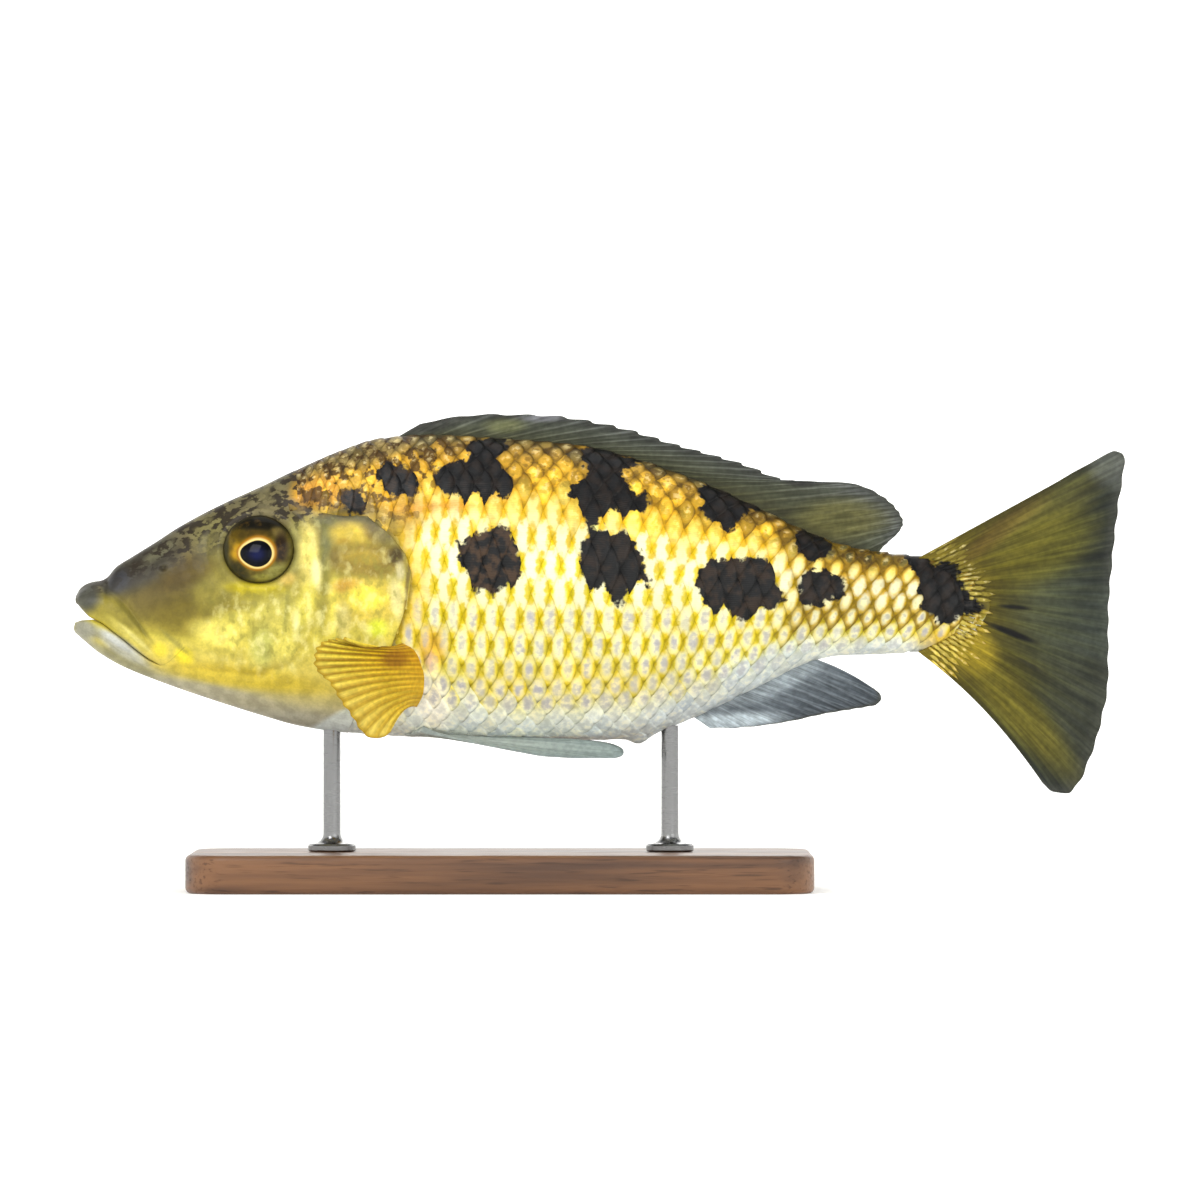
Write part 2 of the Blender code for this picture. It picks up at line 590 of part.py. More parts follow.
def stand_rod(place, body, collection):
    """A turned rod with a small foot, its top shaped to the belly it carries."""
    name = f"stand_rod_{place}"
    x = ROD_PLACES[place]
    top = float(smooth_line(BELLY, x)) + ROD_REACH
    foot = BASE_HEIGHT + GAP
    profile = [(0, top), (ROD_RADIUS, top), (ROD_RADIUS, foot + FOOT_HEIGHT + FOOT_FILLET),
               (ROD_RADIUS + FOOT_FILLET / 3, foot + FOOT_HEIGHT + FOOT_FILLET / 3),
               (ROD_RADIUS + FOOT_FILLET, foot + FOOT_HEIGHT), (FOOT_RADIUS, foot + FOOT_HEIGHT),
               (FOOT_RADIUS, foot), (0, foot)]
    mesh = bpy.data.meshes.new(name)
    mesh.from_pydata([(r * MM, 0, z * MM) for r, z in profile],
                     [(i, i + 1) for i in range(len(profile) - 1)], [])
    made = bpy.data.objects.new(name, mesh)
    made.location.x = x * MM
    collection.objects.link(made)
    screw = made.modifiers.new("turn", "SCREW")
    screw.steps = screw.render_steps = ROD_SIDES
    screw.use_merge_vertices = True
    screw.merge_threshold = WELD * MM
    bpy.context.view_layer.update()
    made = as_mesh(made)
    return keep(combine(made, "DIFFERENCE", body))


def head_and_trunk(flesh, cutters):
    """Parts the flesh with thin cuts into head, lower jaw, trunk and tail stalk."""
    for name, line in (("head_cut", HEAD_CUT), ("stalk_cut", STALK_CUT),
                       ("jaw_cut", MOUTH_LINE + JAW_JOINT[1:])):
        combine(flesh, "DIFFERENCE", ribbon(name, line, GAP, cutters))
    combine(flesh, "DIFFERENCE", prism("gape_cut", GAPE, cutters))
    return flesh


def pick(flesh, name, place, collection):
    """The piece of the parted flesh whose middle lies nearest a place in side view."""
    goal = Vector((place[0], 0, place[1])) * MM
    made = copy_of(flesh, name, collection)
    return keep(made, lambda faces: -(middle_of(faces) - goal).length)


def gill_covers(head, parts, cutters):
    """Cuts a curved plate out of each side of the head, and leaves the head recessed there."""
    outline = np.array(GILL_COVER)
    centre = outline.mean(axis=0)
    away = outline - centre
    wider = outline + away / np.linalg.norm(away, axis=1)[:, None] * RECESS_GAP
    core = loft("cover_core", -COVER_THICKNESS, cutters, COVER_REACH)
    deeper = loft("recess_core", -COVER_THICKNESS - GAP, cutters, COVER_REACH)
    shape = prism("cover_outline", outline, cutters)
    plates = combine(copy_of(head, "gill_plates", cutters), "INTERSECT", shape)
    combine(plates, "DIFFERENCE", core)
    recess = combine(prism("recess_outline", wider, cutters), "DIFFERENCE", deeper)
    combine(head, "DIFFERENCE", recess)
    keep(head)
    left = keep(copy_of(plates, "gill_cover_left", parts), placed(1, -1))
    right = keep(copy_of(plates, "gill_cover_right", parts), placed(1, 1))
    return left, right


def eyes(head, parts, cutters):
    """An eyeball in a socket on each side of the head."""
    made = []
    for side, sign in (("left", -1), ("right", 1)):
        centre = (EYE_CENTRE[0], sign * EYE_CENTRE[1], EYE_CENTRE[2])
        turn = [sign * angle for angle in EYE_TURN]
        socket = ellipsoid(f"socket_{side}", centre, [r + GAP for r in EYE_RADII], cutters, turn=turn)
        combine(head, "DIFFERENCE", socket)
        made.append(ellipsoid(f"eye_{side}", centre, EYE_RADII, parts, turn=turn))
        x, z = NOSTRIL
        pit_centre = (x, sign * (float(side_of_body(x, z)) + NOSTRIL_RAISE), z)
        pit = ellipsoid(f"nostril_{side}", pit_centre, [NOSTRIL_RADIUS] * 3, cutters, 8, 6)
        combine(head, "DIFFERENCE", pit)
    keep(head)
    return made


def dress(obj, kind, smooth=True):
    obj.data.materials.clear()
    obj.data.materials.append(material(kind))
    if smooth:
        obj.data.shade_smooth()
        obj.data.set_sharp_from_angle(angle=math.radians(35))


def build():
    for obj in list(bpy.data.objects):
        bpy.data.objects.remove(obj)
    parts = bpy.data.collections.new("rostratus_cichlid")
    cutters = bpy.data.collections.new("cutters")
    for collection in (parts, cutters):
        bpy.context.scene.collection.children.link(collection)

    flesh = loft("flesh", 0.0, cutters)
    papilla = ellipsoid("papilla", PAPILLA_CENTRE, PAPILLA_RADII, cutters, 12, 8)
    combine(flesh, "UNION", papilla)
    grown = loft("grown_body", GAP, cutters)
    head_and_trunk(flesh, cutters)

    head = pick(flesh, "head", (-72, 62), parts)
    jaw = pick(flesh, "lower_jaw", (-99, 49), parts)
    trunk = pick(flesh, "trunk", (5, 62), parts)
    stalk = pick(flesh, "tail_stalk", (70, 60), parts)
    covers = gill_covers(head, parts, cutters)
    eyeballs = eyes(head, parts, cutters)

    dorsal = flat_fin("fin_dorsal", DORSAL_RAYS, sunk(DORSAL_ROOT, -FIN_ROOT_SINK), DORSAL_TIPS, 4,
                      parts, lean=0.7, notch=0.05)
    anal = flat_fin("fin_anal", ANAL_RAYS, sunk(ANAL_ROOT, FIN_ROOT_SINK), ANAL_TIPS, 5,
                    parts, lean=0.8, notch=0.03)
    caudal = flat_fin("fin_caudal", CAUDAL_RAYS, CAUDAL_ROOT, CAUDAL_TIPS, 8,
                      parts, lean=1.0, notch=0.02, root_half=CAUDAL_ROOT_HALF, bow=CAUDAL_BOW)
    pectoral = pectoral_fin("fin_pectoral_left", parts)
    pelvic = pelvic_fin("fin_pelvic_left", parts)
    for fin in (dorsal, anal, caudal, pectoral, pelvic):
        keep(combine(fin, "DIFFERENCE", grown))
    pectoral_right = mirrored(pectoral, "fin_pectoral_right", parts)
    pelvic_right = mirrored(pelvic, "fin_pelvic_right", parts)
    base = stand_base(parts)
    rods = [stand_rod(place, grown, parts) for place in ROD_PLACES]

    for group, kind in (([head], "head"), ([jaw], "jaw"), (covers, "gill_cover"), ([trunk], "trunk"),
                        ([stalk], "tail_stalk"), (eyeballs, "eye"), ([dorsal, anal], "median_fin"),
                        ([caudal], "tail_fin"), ([pectoral, pectoral_right], "pectoral_fin"),
                        ([pelvic, pelvic_right], "pelvic_fin"), (rods, "stand_metal")):
        for obj in group:
            dress(obj, kind)
    dress(base, "stand_wood", smooth=False)
    cutters.hide_render = True
    for obj in cutters.objects:
        obj.hide_render = True
        obj.display_type = "WIRE"


if __name__ == "__main__":
    build()
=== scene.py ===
"""The finished looks of a rostratus cichlid, life size, over a plain display stand.

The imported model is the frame: the fish heads along -X, its left side is towards -Y, and +Z is
up. Sizes below are in millimetres and are turned to metres as each mesh is made. The body and
the fins follow the CAD solids' lines, with a rounder lip and the finer relief of the real fish.
"""

import logging
import math
from collections.abc import Callable, Sequence
from dataclasses import dataclass
from enum import Enum
from functools import partial

import bmesh
import bpy
import numpy as np
from mathutils import Euler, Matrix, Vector


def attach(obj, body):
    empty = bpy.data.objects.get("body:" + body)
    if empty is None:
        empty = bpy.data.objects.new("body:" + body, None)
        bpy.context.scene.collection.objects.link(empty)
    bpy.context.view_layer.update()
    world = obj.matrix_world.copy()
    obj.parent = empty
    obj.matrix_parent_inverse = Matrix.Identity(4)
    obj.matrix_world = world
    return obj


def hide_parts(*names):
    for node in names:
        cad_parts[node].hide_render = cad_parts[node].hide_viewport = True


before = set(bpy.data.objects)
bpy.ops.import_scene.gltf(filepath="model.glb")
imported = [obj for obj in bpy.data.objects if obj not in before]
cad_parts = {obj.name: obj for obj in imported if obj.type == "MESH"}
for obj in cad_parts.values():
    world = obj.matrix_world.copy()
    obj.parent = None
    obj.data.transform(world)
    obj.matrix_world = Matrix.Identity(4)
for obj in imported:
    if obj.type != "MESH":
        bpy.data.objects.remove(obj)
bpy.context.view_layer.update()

MM = 0.001
BAKE_MAP = "OFBake"
TINY = 1e-6
LOG = logging.getLogger("rostratus_cichlid")

WAVE_LENGTH = 2 * math.pi / 20  # from crest to crest of the wave node at scale 1
PATCH_SHAPE = (1.6, 2.1)  # a scale's patch of the bake map, along and across
PATCH_SIZE = 0.003

Line = Sequence[tuple[float, float]]
Stops = Sequence[tuple[float, str]]
Array = np.ndarray
Faces = list[tuple[int, ...]]
Piece = bpy.types.Object
Material = bpy.types.Material
Socket = bpy.types.NodeSocket
Adder = Callable[..., Socket]


class Side(Enum):
    """A side of the fish, by the sign of its Y."""

    LEFT = -1
    RIGHT = 1


def smooth_line(points: Line, where: Array) -> Array:
    """Reads heights off a smooth curve through points, with no overshoot.

    Args:
        points: The curve's points, by rising first value.
        where: The places to read, of any shape.

    Returns:
        The heights, in the shape of where.
    """
    x, z = np.array(points, float).T
    where = np.clip(np.asarray(where, float), x[0], x[-1])
    step = np.diff(x)
    slope = np.diff(z) / step
    tangent = np.zeros(len(x))
    rising = slope[:-1] * slope[1:] > 0
    weight = 3 * (step[:-1] + step[1:])
    safe = np.where(slope == 0, TINY, slope)
    harmonic = weight / ((step[:-1] + 2 * step[1:]) / safe[1:] + (2 * step[:-1] + step[1:]) / safe[:-1])
    tangent[1:-1][rising] = harmonic[rising]
    tangent[0], tangent[-1] = slope[0], slope[-1]
    i = np.clip(np.searchsorted(x, where) - 1, 0, len(step) - 1)
    t = (where - x[i]) / step[i]
    return (z[i] * (1 + 2 * t) * (1 - t) ** 2 + z[i + 1] * t * t * (3 - 2 * t)
            + step[i] * t * (1 - t) * (tangent[i] * (1 - t) - tangent[i + 1] * t))


def along(points: Sequence[Sequence[float]], share: Array) -> Array:
    """Points at the given shares of the length of a smooth line.

    Args:
        points: The line's points.
        share: Shares from 0 to 1.

    Returns:
        One point for each share.
    """
    line = np.array(points, float)
    chord = np.r_[0, np.cumsum(np.linalg.norm(np.diff(line, axis=0), axis=1))]
    wanted = np.asarray(share, float) * chord[-1]
    return np.stack([smooth_line(np.stack([chord, column], 1), wanted) for column in line.T], -1)


def smooth_step(t: Array, start: float = 0.0, run: float = 1.0) -> Array:
    """Rises smoothly from 0 at the start to 1 a run further on, or further back if it is negative."""
    t = np.clip((t - start) / run, 0, 1)
    return t * t * (3 - 2 * t)


def bump(distance: Array, width: float) -> Array:
    """A round bump: 1 where the distance is 0, and little left at twice the width."""
    return np.exp(-(distance / width) ** 2)


def line_distance(x: Array, z: Array, line: Line) -> Array:
    """Measures from points to a line of straight pieces, in side view.

    Args:
        x: Places along the body.
        z: Their heights.
        line: The line's corners.

    Returns:
        The distances.
    """
    best = np.full(np.broadcast(x, z).shape, np.inf)
    for (ax, az), (bx, bz) in zip(line[:-1], line[1:]):
        dx, dz = bx - ax, bz - az
        t = np.clip(((x - ax) * dx + (z - az) * dz) / (dx * dx + dz * dz), 0, 1)
        best = np.minimum(best, np.hypot(x - ax - t * dx, z - az - t * dz))
    return best


def depth_inside(x: Array, z: Array, outline: Line) -> Array:
    """Measures how far inside a closed outline points lie, in side view.

    Args:
        x: Places along the body.
        z: Their heights.
        outline: Its corners.

    Returns:
        The depths, negative outside it.
    """
    closed = [*outline, outline[0]]
    inside = np.zeros(np.broadcast(x, z).shape, bool)
    for (ax, az), (bx, bz) in zip(closed[:-1], closed[1:]):
        spans = (az > z) != (bz > z)
        crossing = ax + (z - az) * (bx - ax) / (bz - az if bz != az else TINY)
        inside ^= spans & (x < crossing)
    return np.where(inside, 1, -1) * line_distance(x, z, closed)


def to_linear(value: Array) -> Array:
    """Turns sRGB values to linear ones."""
    value = np.asarray(value, float)
    return np.where(value <= 0.04045, value / 12.92, ((value + 0.055) / 1.055) ** 2.4)


def srgb(colour: str) -> Array:
    """The red, green and blue of a hex colour, as sRGB values from 0 to 1."""
    return np.array([int(colour[i:i + 2], 16) / 255 for i in (1, 3, 5)])


def linear(colour: str) -> tuple[float, float, float, float]:
    """A hex colour as a node socket takes it."""
    return (*to_linear(srgb(colour)), 1.0)


def ramp(stops: Stops, t: Array) -> Array:
    """sRGB colours read off a row of stops.

    Args:
        stops: Places and hex colours, by rising place.
        t: The places to read, of any shape.

    Returns:
        An array with one more axis than t, of three values.
    """
    places = [place for place, _ in stops]
    values = np.array([srgb(colour) for _, colour in stops])
    return np.stack([np.interp(t, places, values[:, i]) for i in range(3)], -1)


@dataclass(frozen=True)
class Wash:
    """One soft-edged wash of colour, an ellipse in side view."""

    colour: str
    x: float
    z: float
    length: float
    height: float
    turn: float = 0.0
    strength: float = 0.8
    softness: float = 0.5

    def cover(self, x: Array, z: Array) -> Array:
        """Works out how much of the wash lies on each point.

        Args:
            x: Places along the body.
            z: Their heights.

        Returns:
            Shares from 0 to its strength.
        """
        angle = math.radians(self.turn)
        run = (x - self.x) * math.cos(angle) + (z - self.z) * math.sin(angle)
        rise = (z - self.z) * math.cos(angle) - (x - self.x) * math.sin(angle)
        radius = np.hypot(run / (self.length / 2), rise / (self.height / 2))
        return self.strength * smooth_step((1 + self.softness - radius) / (2 * self.softness))


def washed(base: Array, washes: Sequence[Wash], x: Array, z: Array) -> Array:
    """Lays washes over base colours, in order.

    Args:
        base: sRGB colours.
        washes: The washes.
        x: Places along the body.
        z: Their heights.

    Returns:
        sRGB colours.
    """
    for wash in washes:
        share = wash.cover(x, z)[..., None]
        base = base * (1 - share) + srgb(wash.colour) * share
    return base


@dataclass(frozen=True)
class BodyForm:
    """The plain body, as in the CAD but for its rounder lips: back, belly and widths by place."""

    back: Line = (
        (-109.2, 62), (-108.6, 63), (-107.4, 63.9), (-106, 64.4), (-104.2, 64.7), (-102.9, 65.4),
        (-101.1, 67.5), (-97.8, 69.6), (-92.8, 72.7), (-87.7, 76), (-79.4, 80.4),
        (-71, 84.2), (-62.7, 88.2), (-54.3, 91.9), (-46, 94.6), (-36, 95.4),
        (-21, 94.6), (-5, 93.3), (10.4, 89.4), (21, 85.5), (31.3, 81),
        (41.8, 75.8), (50, 72.6), (57.2, 71), (64, 70.4), (72, 69.2),
        (78, 66.4), (81, 62.4))
    belly: Line = (
        (-109.2, 53.4), (-107.6, 52), (-104.5, 49.5), (-99.4, 46.6), (-92, 43.6),
        (-84.4, 40.9), (-71, 36.6), (-62.7, 34.3), (-54.3, 33), (-40, 31.9),
        (-21, 31.2), (0, 31.2), (9, 32), (14.6, 33.8), (21, 36.5),
        (31.3, 41.4), (37.6, 44.6), (43, 47.2), (50.1, 48.8), (60, 49.2),
        (72, 50), (78, 52.8), (81, 56.8))
    half_width: Line = (
        (-109.2, 3.4), (-108.4, 4.2), (-106.6, 5), (-104, 5.6), (-101, 6),
        (-97.8, 6.6), (-92.8, 7.6), (-87.7, 8.5), (-79.4, 10), (-71, 11.2),
        (-62.7, 12.3), (-54.3, 13.2), (-42, 14.3), (-21, 14.8), (0, 14.2),
        (10, 13.4), (21, 12.2), (31, 10.8), (42, 9), (50, 7.6),
        (57, 6.4), (64, 5.3), (72, 4), (78, 2.8), (81, 1.6))
    waist: Line = (
        (-109, 0.50), (-98, 0.45), (-71, 0.42), (-54, 0.43), (-21, 0.47),
        (21, 0.50), (81, 0.50))
    upper_round: Line = (
        (-109, 2.3), (-90, 2), (-71, 2.2), (-54, 2), (-21, 1.9), (81, 2))
    lower_round: Line = (
        (-109, 2.3), (-90, 1.8), (-71, 1.7), (-54, 1.9), (-38, 2.3),
        (0, 2.3), (21, 1.9), (45, 1.8), (81, 2))
    papilla: tuple[float, float] = (8.2, 1.5)  # its place and how far it hangs

    def limits(self, x: Array) -> tuple[Array, Array, Array]:
        """The heights of the back, the belly and the widest point at x."""
        top, bottom = smooth_line(self.back, x), smooth_line(self.belly, x)
        return top, bottom, bottom + (top - bottom) * smooth_line(self.waist, x)

    def point(self, x: Array, angle: Array, grow: Array = 0.0,
              relief: Callable[[Array, Array], Array] | None = None) -> Array:
        """Points of the left flank, or beyond half a turn of the right.

        Args:
            x: Places along the body.
            angle: Angles round the section, from the back.
            grow: How far the points lie outside the plain body.
            relief: Gives how far the skin stands out at (x, z).

        Returns:
            Points in millimetres, on a last axis of three.
        """
        x, angle = np.broadcast_arrays(np.asarray(x, float), np.asarray(angle, float))
        top, bottom, waist = self.limits(x)
        cosine, sine = np.cos(angle), np.sin(angle)
        upper = cosine >= 0
        power = 2 / np.where(upper, smooth_line(self.upper_round, x), smooth_line(self.lower_round, x))
        z = waist + np.where(upper, top - waist, bottom - waist) * np.abs(cosine) ** power
        side = np.abs(sine) ** power
        out = smooth_line(self.half_width, x) * side + grow * side
        if relief is not None:
            out = out + relief(x, z) * smooth_step(side / 0.6)
        z = z + grow * np.sign(cosine) * np.abs(cosine)
        vent = self.papilla[1] * np.exp(-((x - self.papilla[0]) / 2.3) ** 2 - (out / 1.8) ** 2)
        return np.stack([x, -np.sign(sine) * out, z - np.where(upper, 0, vent)], -1)

    def angle_of(self, x: Array, z: Array) -> Array:
        """Finds where round the section the left flank has a height.

        Args:
            x: Places along the body.
            z: Heights there.

        Returns:
            Angles from the back.
        """
        top, bottom, waist = self.limits(x)
        upper = z >= waist
        power = np.where(upper, smooth_line(self.upper_round, x), smooth_line(self.lower_round, x))
        share = np.clip(np.abs(z - waist) / np.where(upper, top - waist, waist - bottom), 0, 1)
        return np.arccos(np.where(upper, 1, -1) * share ** (power / 2))

    def side(self, x: Array, z: Array) -> Array:
        """Half the body's width at a place in side view."""
        return -self.point(x, self.angle_of(x, z))[..., 1]

    def height_share(self, x: Array, z: Array) -> Array:
        """The height in side view, from 0 at the belly to 1 at the back."""
        top, bottom, _ = self.limits(x)
        return np.clip((z - bottom) / (top - bottom), 0, 1)


@dataclass(frozen=True)
class HeadForm:
    """The relief of the head: lips, orbit, nostrils, gill cover and the bones under the skin."""

    mouth: Line = (
        (-106.3, 56.9), (-103.8, 55.7), (-101.7, 54.1), (-99.2, 52.2), (-96.4, 49.9),
        (-94.2, 48.3), (-91.7, 47))
    crease: Line = (
        (-109.2, 62), (-106, 64.2), (-103.2, 64.6), (-102.8, 62.7), (-100.7, 61.2),
        (-99, 59.8), (-96.5, 56.4), (-94, 52.2), (-91.7, 48.2))
    gape_top: Line = ((-110, 60.4), (-109.2, 59.9), (-108, 58.6), (-106.7, 57.3), (-105.9, 56.75))
    gape_bottom: Line = ((-110, 55.6), (-109.2, 56), (-108, 56.4), (-105.9, 56.5))
    parting: float = 0.06
    swell: float = 1.2
    lower_share: float = 0.85
    lower_lip: Line = ((-109, 3.4), (-100, 2.9), (-91.7, 1.4))
    lip_end: float = -90.2
    eye: tuple[float, float, float] = (-70.8, 8.4, 71.0)
    eye_radii: tuple[float, float, float] = (7.8, 4.2, 7.4)
    eye_turn: tuple[float, float, float] = (12.0, 0.0, 7.0)
    socket: float = 4.2  # how deep the skin lies under the eyeball
    nostril: tuple[float, float] = (-91.0, 67.2)
    cover_edge: Line = (
        (-53.6, 30), (-49.7, 38.7), (-46.4, 44.9), (-43.2, 51.2), (-40.9, 57),
        (-39.5, 62), (-39.1, 65.8), (-40.3, 69.8), (-43.5, 74.2), (-47.6, 77.7),
        (-49.5, 80))
    preopercle: Line = (
        (-57, 75), (-57.2, 68), (-57.9, 60), (-60, 52), (-64.5, 46.8),
        (-71, 44.8), (-79, 45.8), (-88, 46.6))
    cheek_folds: tuple[Line, ...] = (
        ((-64.5, 65), (-62.6, 58), (-65, 51), (-71, 48)),
        ((-56.6, 50), (-50, 47.2), (-44.8, 48.8)),
        ((-91.9, 54.7), (-88.8, 52.2), (-85.7, 49.4), (-83.6, 47.2)),
        ((-51.4, 63), (-50.8, 59), (-51.2, 54)),
        ((-54.4, 70.6), (-50, 71.6), (-44, 71.4), (-41.6, 69.2)))

    def mouth_edges(self, x: Array) -> tuple[Array, Array]:
        """Finds the edges of the lips.

        Args:
            x: Places along the body.

        Returns:
            The heights of the upper lip's edge and of the lower's.
        """
        line = smooth_line(self.mouth, x)
        gape = x < self.gape_top[-1][0]
        upper = np.where(gape, smooth_line(self.gape_top, x), line + self.parting)
        return upper, np.where(gape, smooth_line(self.gape_bottom, x), line - self.parting)

    def edge_x(self, z: Array) -> Array:
        """Where the gill cover's rear edge lies at height z."""
        places = np.array(self.cover_edge)
        return np.interp(z, places[:, 1], places[:, 0])

    def eye_radius(self, x: Array, z: Array) -> Array:
        """The distance from the eye's centre, in shares that make its outline a circle."""
        return np.hypot((x - self.eye[0]) * self.eye_radii[2] / self.eye_radii[0], z - self.eye[2])

    def relief(self, x: Array, z: Array) -> Array:
        """Shapes the lips, the orbit, the nostril and the folds over the bones.

        Args:
            x: Places along the body.
            z: Their heights.

        Returns:
            How far the skin stands out from the plain body.
        """
        upper, lower = self.mouth_edges(x)
        rise = np.clip((z - upper) / np.maximum(smooth_line(self.crease, x) - upper, 0.5), 0, 1)
        fall = np.clip((lower - z) / smooth_line(self.lower_lip, x), 0, 1)
        fade = smooth_step((self.lip_end - x) / 6.0)
        out = self.swell * fade * (np.sin(math.pi * rise ** 0.8) ** 0.8
                                   + self.lower_share * np.sin(math.pi * fall ** 0.8) ** 0.8)
        chin = np.where(z < lower, line_distance(x, z, [
            (px, float(smooth_line(self.mouth, px) - smooth_line(self.lower_lip, px)))
            for px in np.linspace(-106.3, -92.0, 9)]), 9.0)
        out = out - 0.22 * fade * bump(chin, 0.6) - 0.30 * fade * bump(line_distance(x, z, self.crease), 0.55)
        radius = self.eye_radius(x, z)
        out = out + 0.55 * bump(radius - 8.3, 0.9) - 0.25 * bump(radius - 10.6, 0.9)
        out = out - self.socket * smooth_step(radius, 7.1, -1.5)
        pit = np.hypot((x - self.nostril[0]) / 1.2, z - self.nostril[1])
        out = out + 0.12 * bump(pit - 0.9, 0.42) - 0.7 * np.exp(-(pit / 0.5) ** 4)
        out = out - 0.45 * bump(line_distance(x, z, self.preopercle), 0.75)
        behind = [(px + 2.0, pz) for px, pz in self.preopercle[:5]]
        out = out + 0.20 * bump(line_distance(x, z, behind), 1.3)
        for fold in self.cheek_folds:
            out = out - 0.16 * bump(line_distance(x, z, fold), 0.7)
        return out


@dataclass(frozen=True)
class Blotch:
    """One black blotch: its outline in side view and how brown it is."""

    outline: Line
    brown: float = 0.1


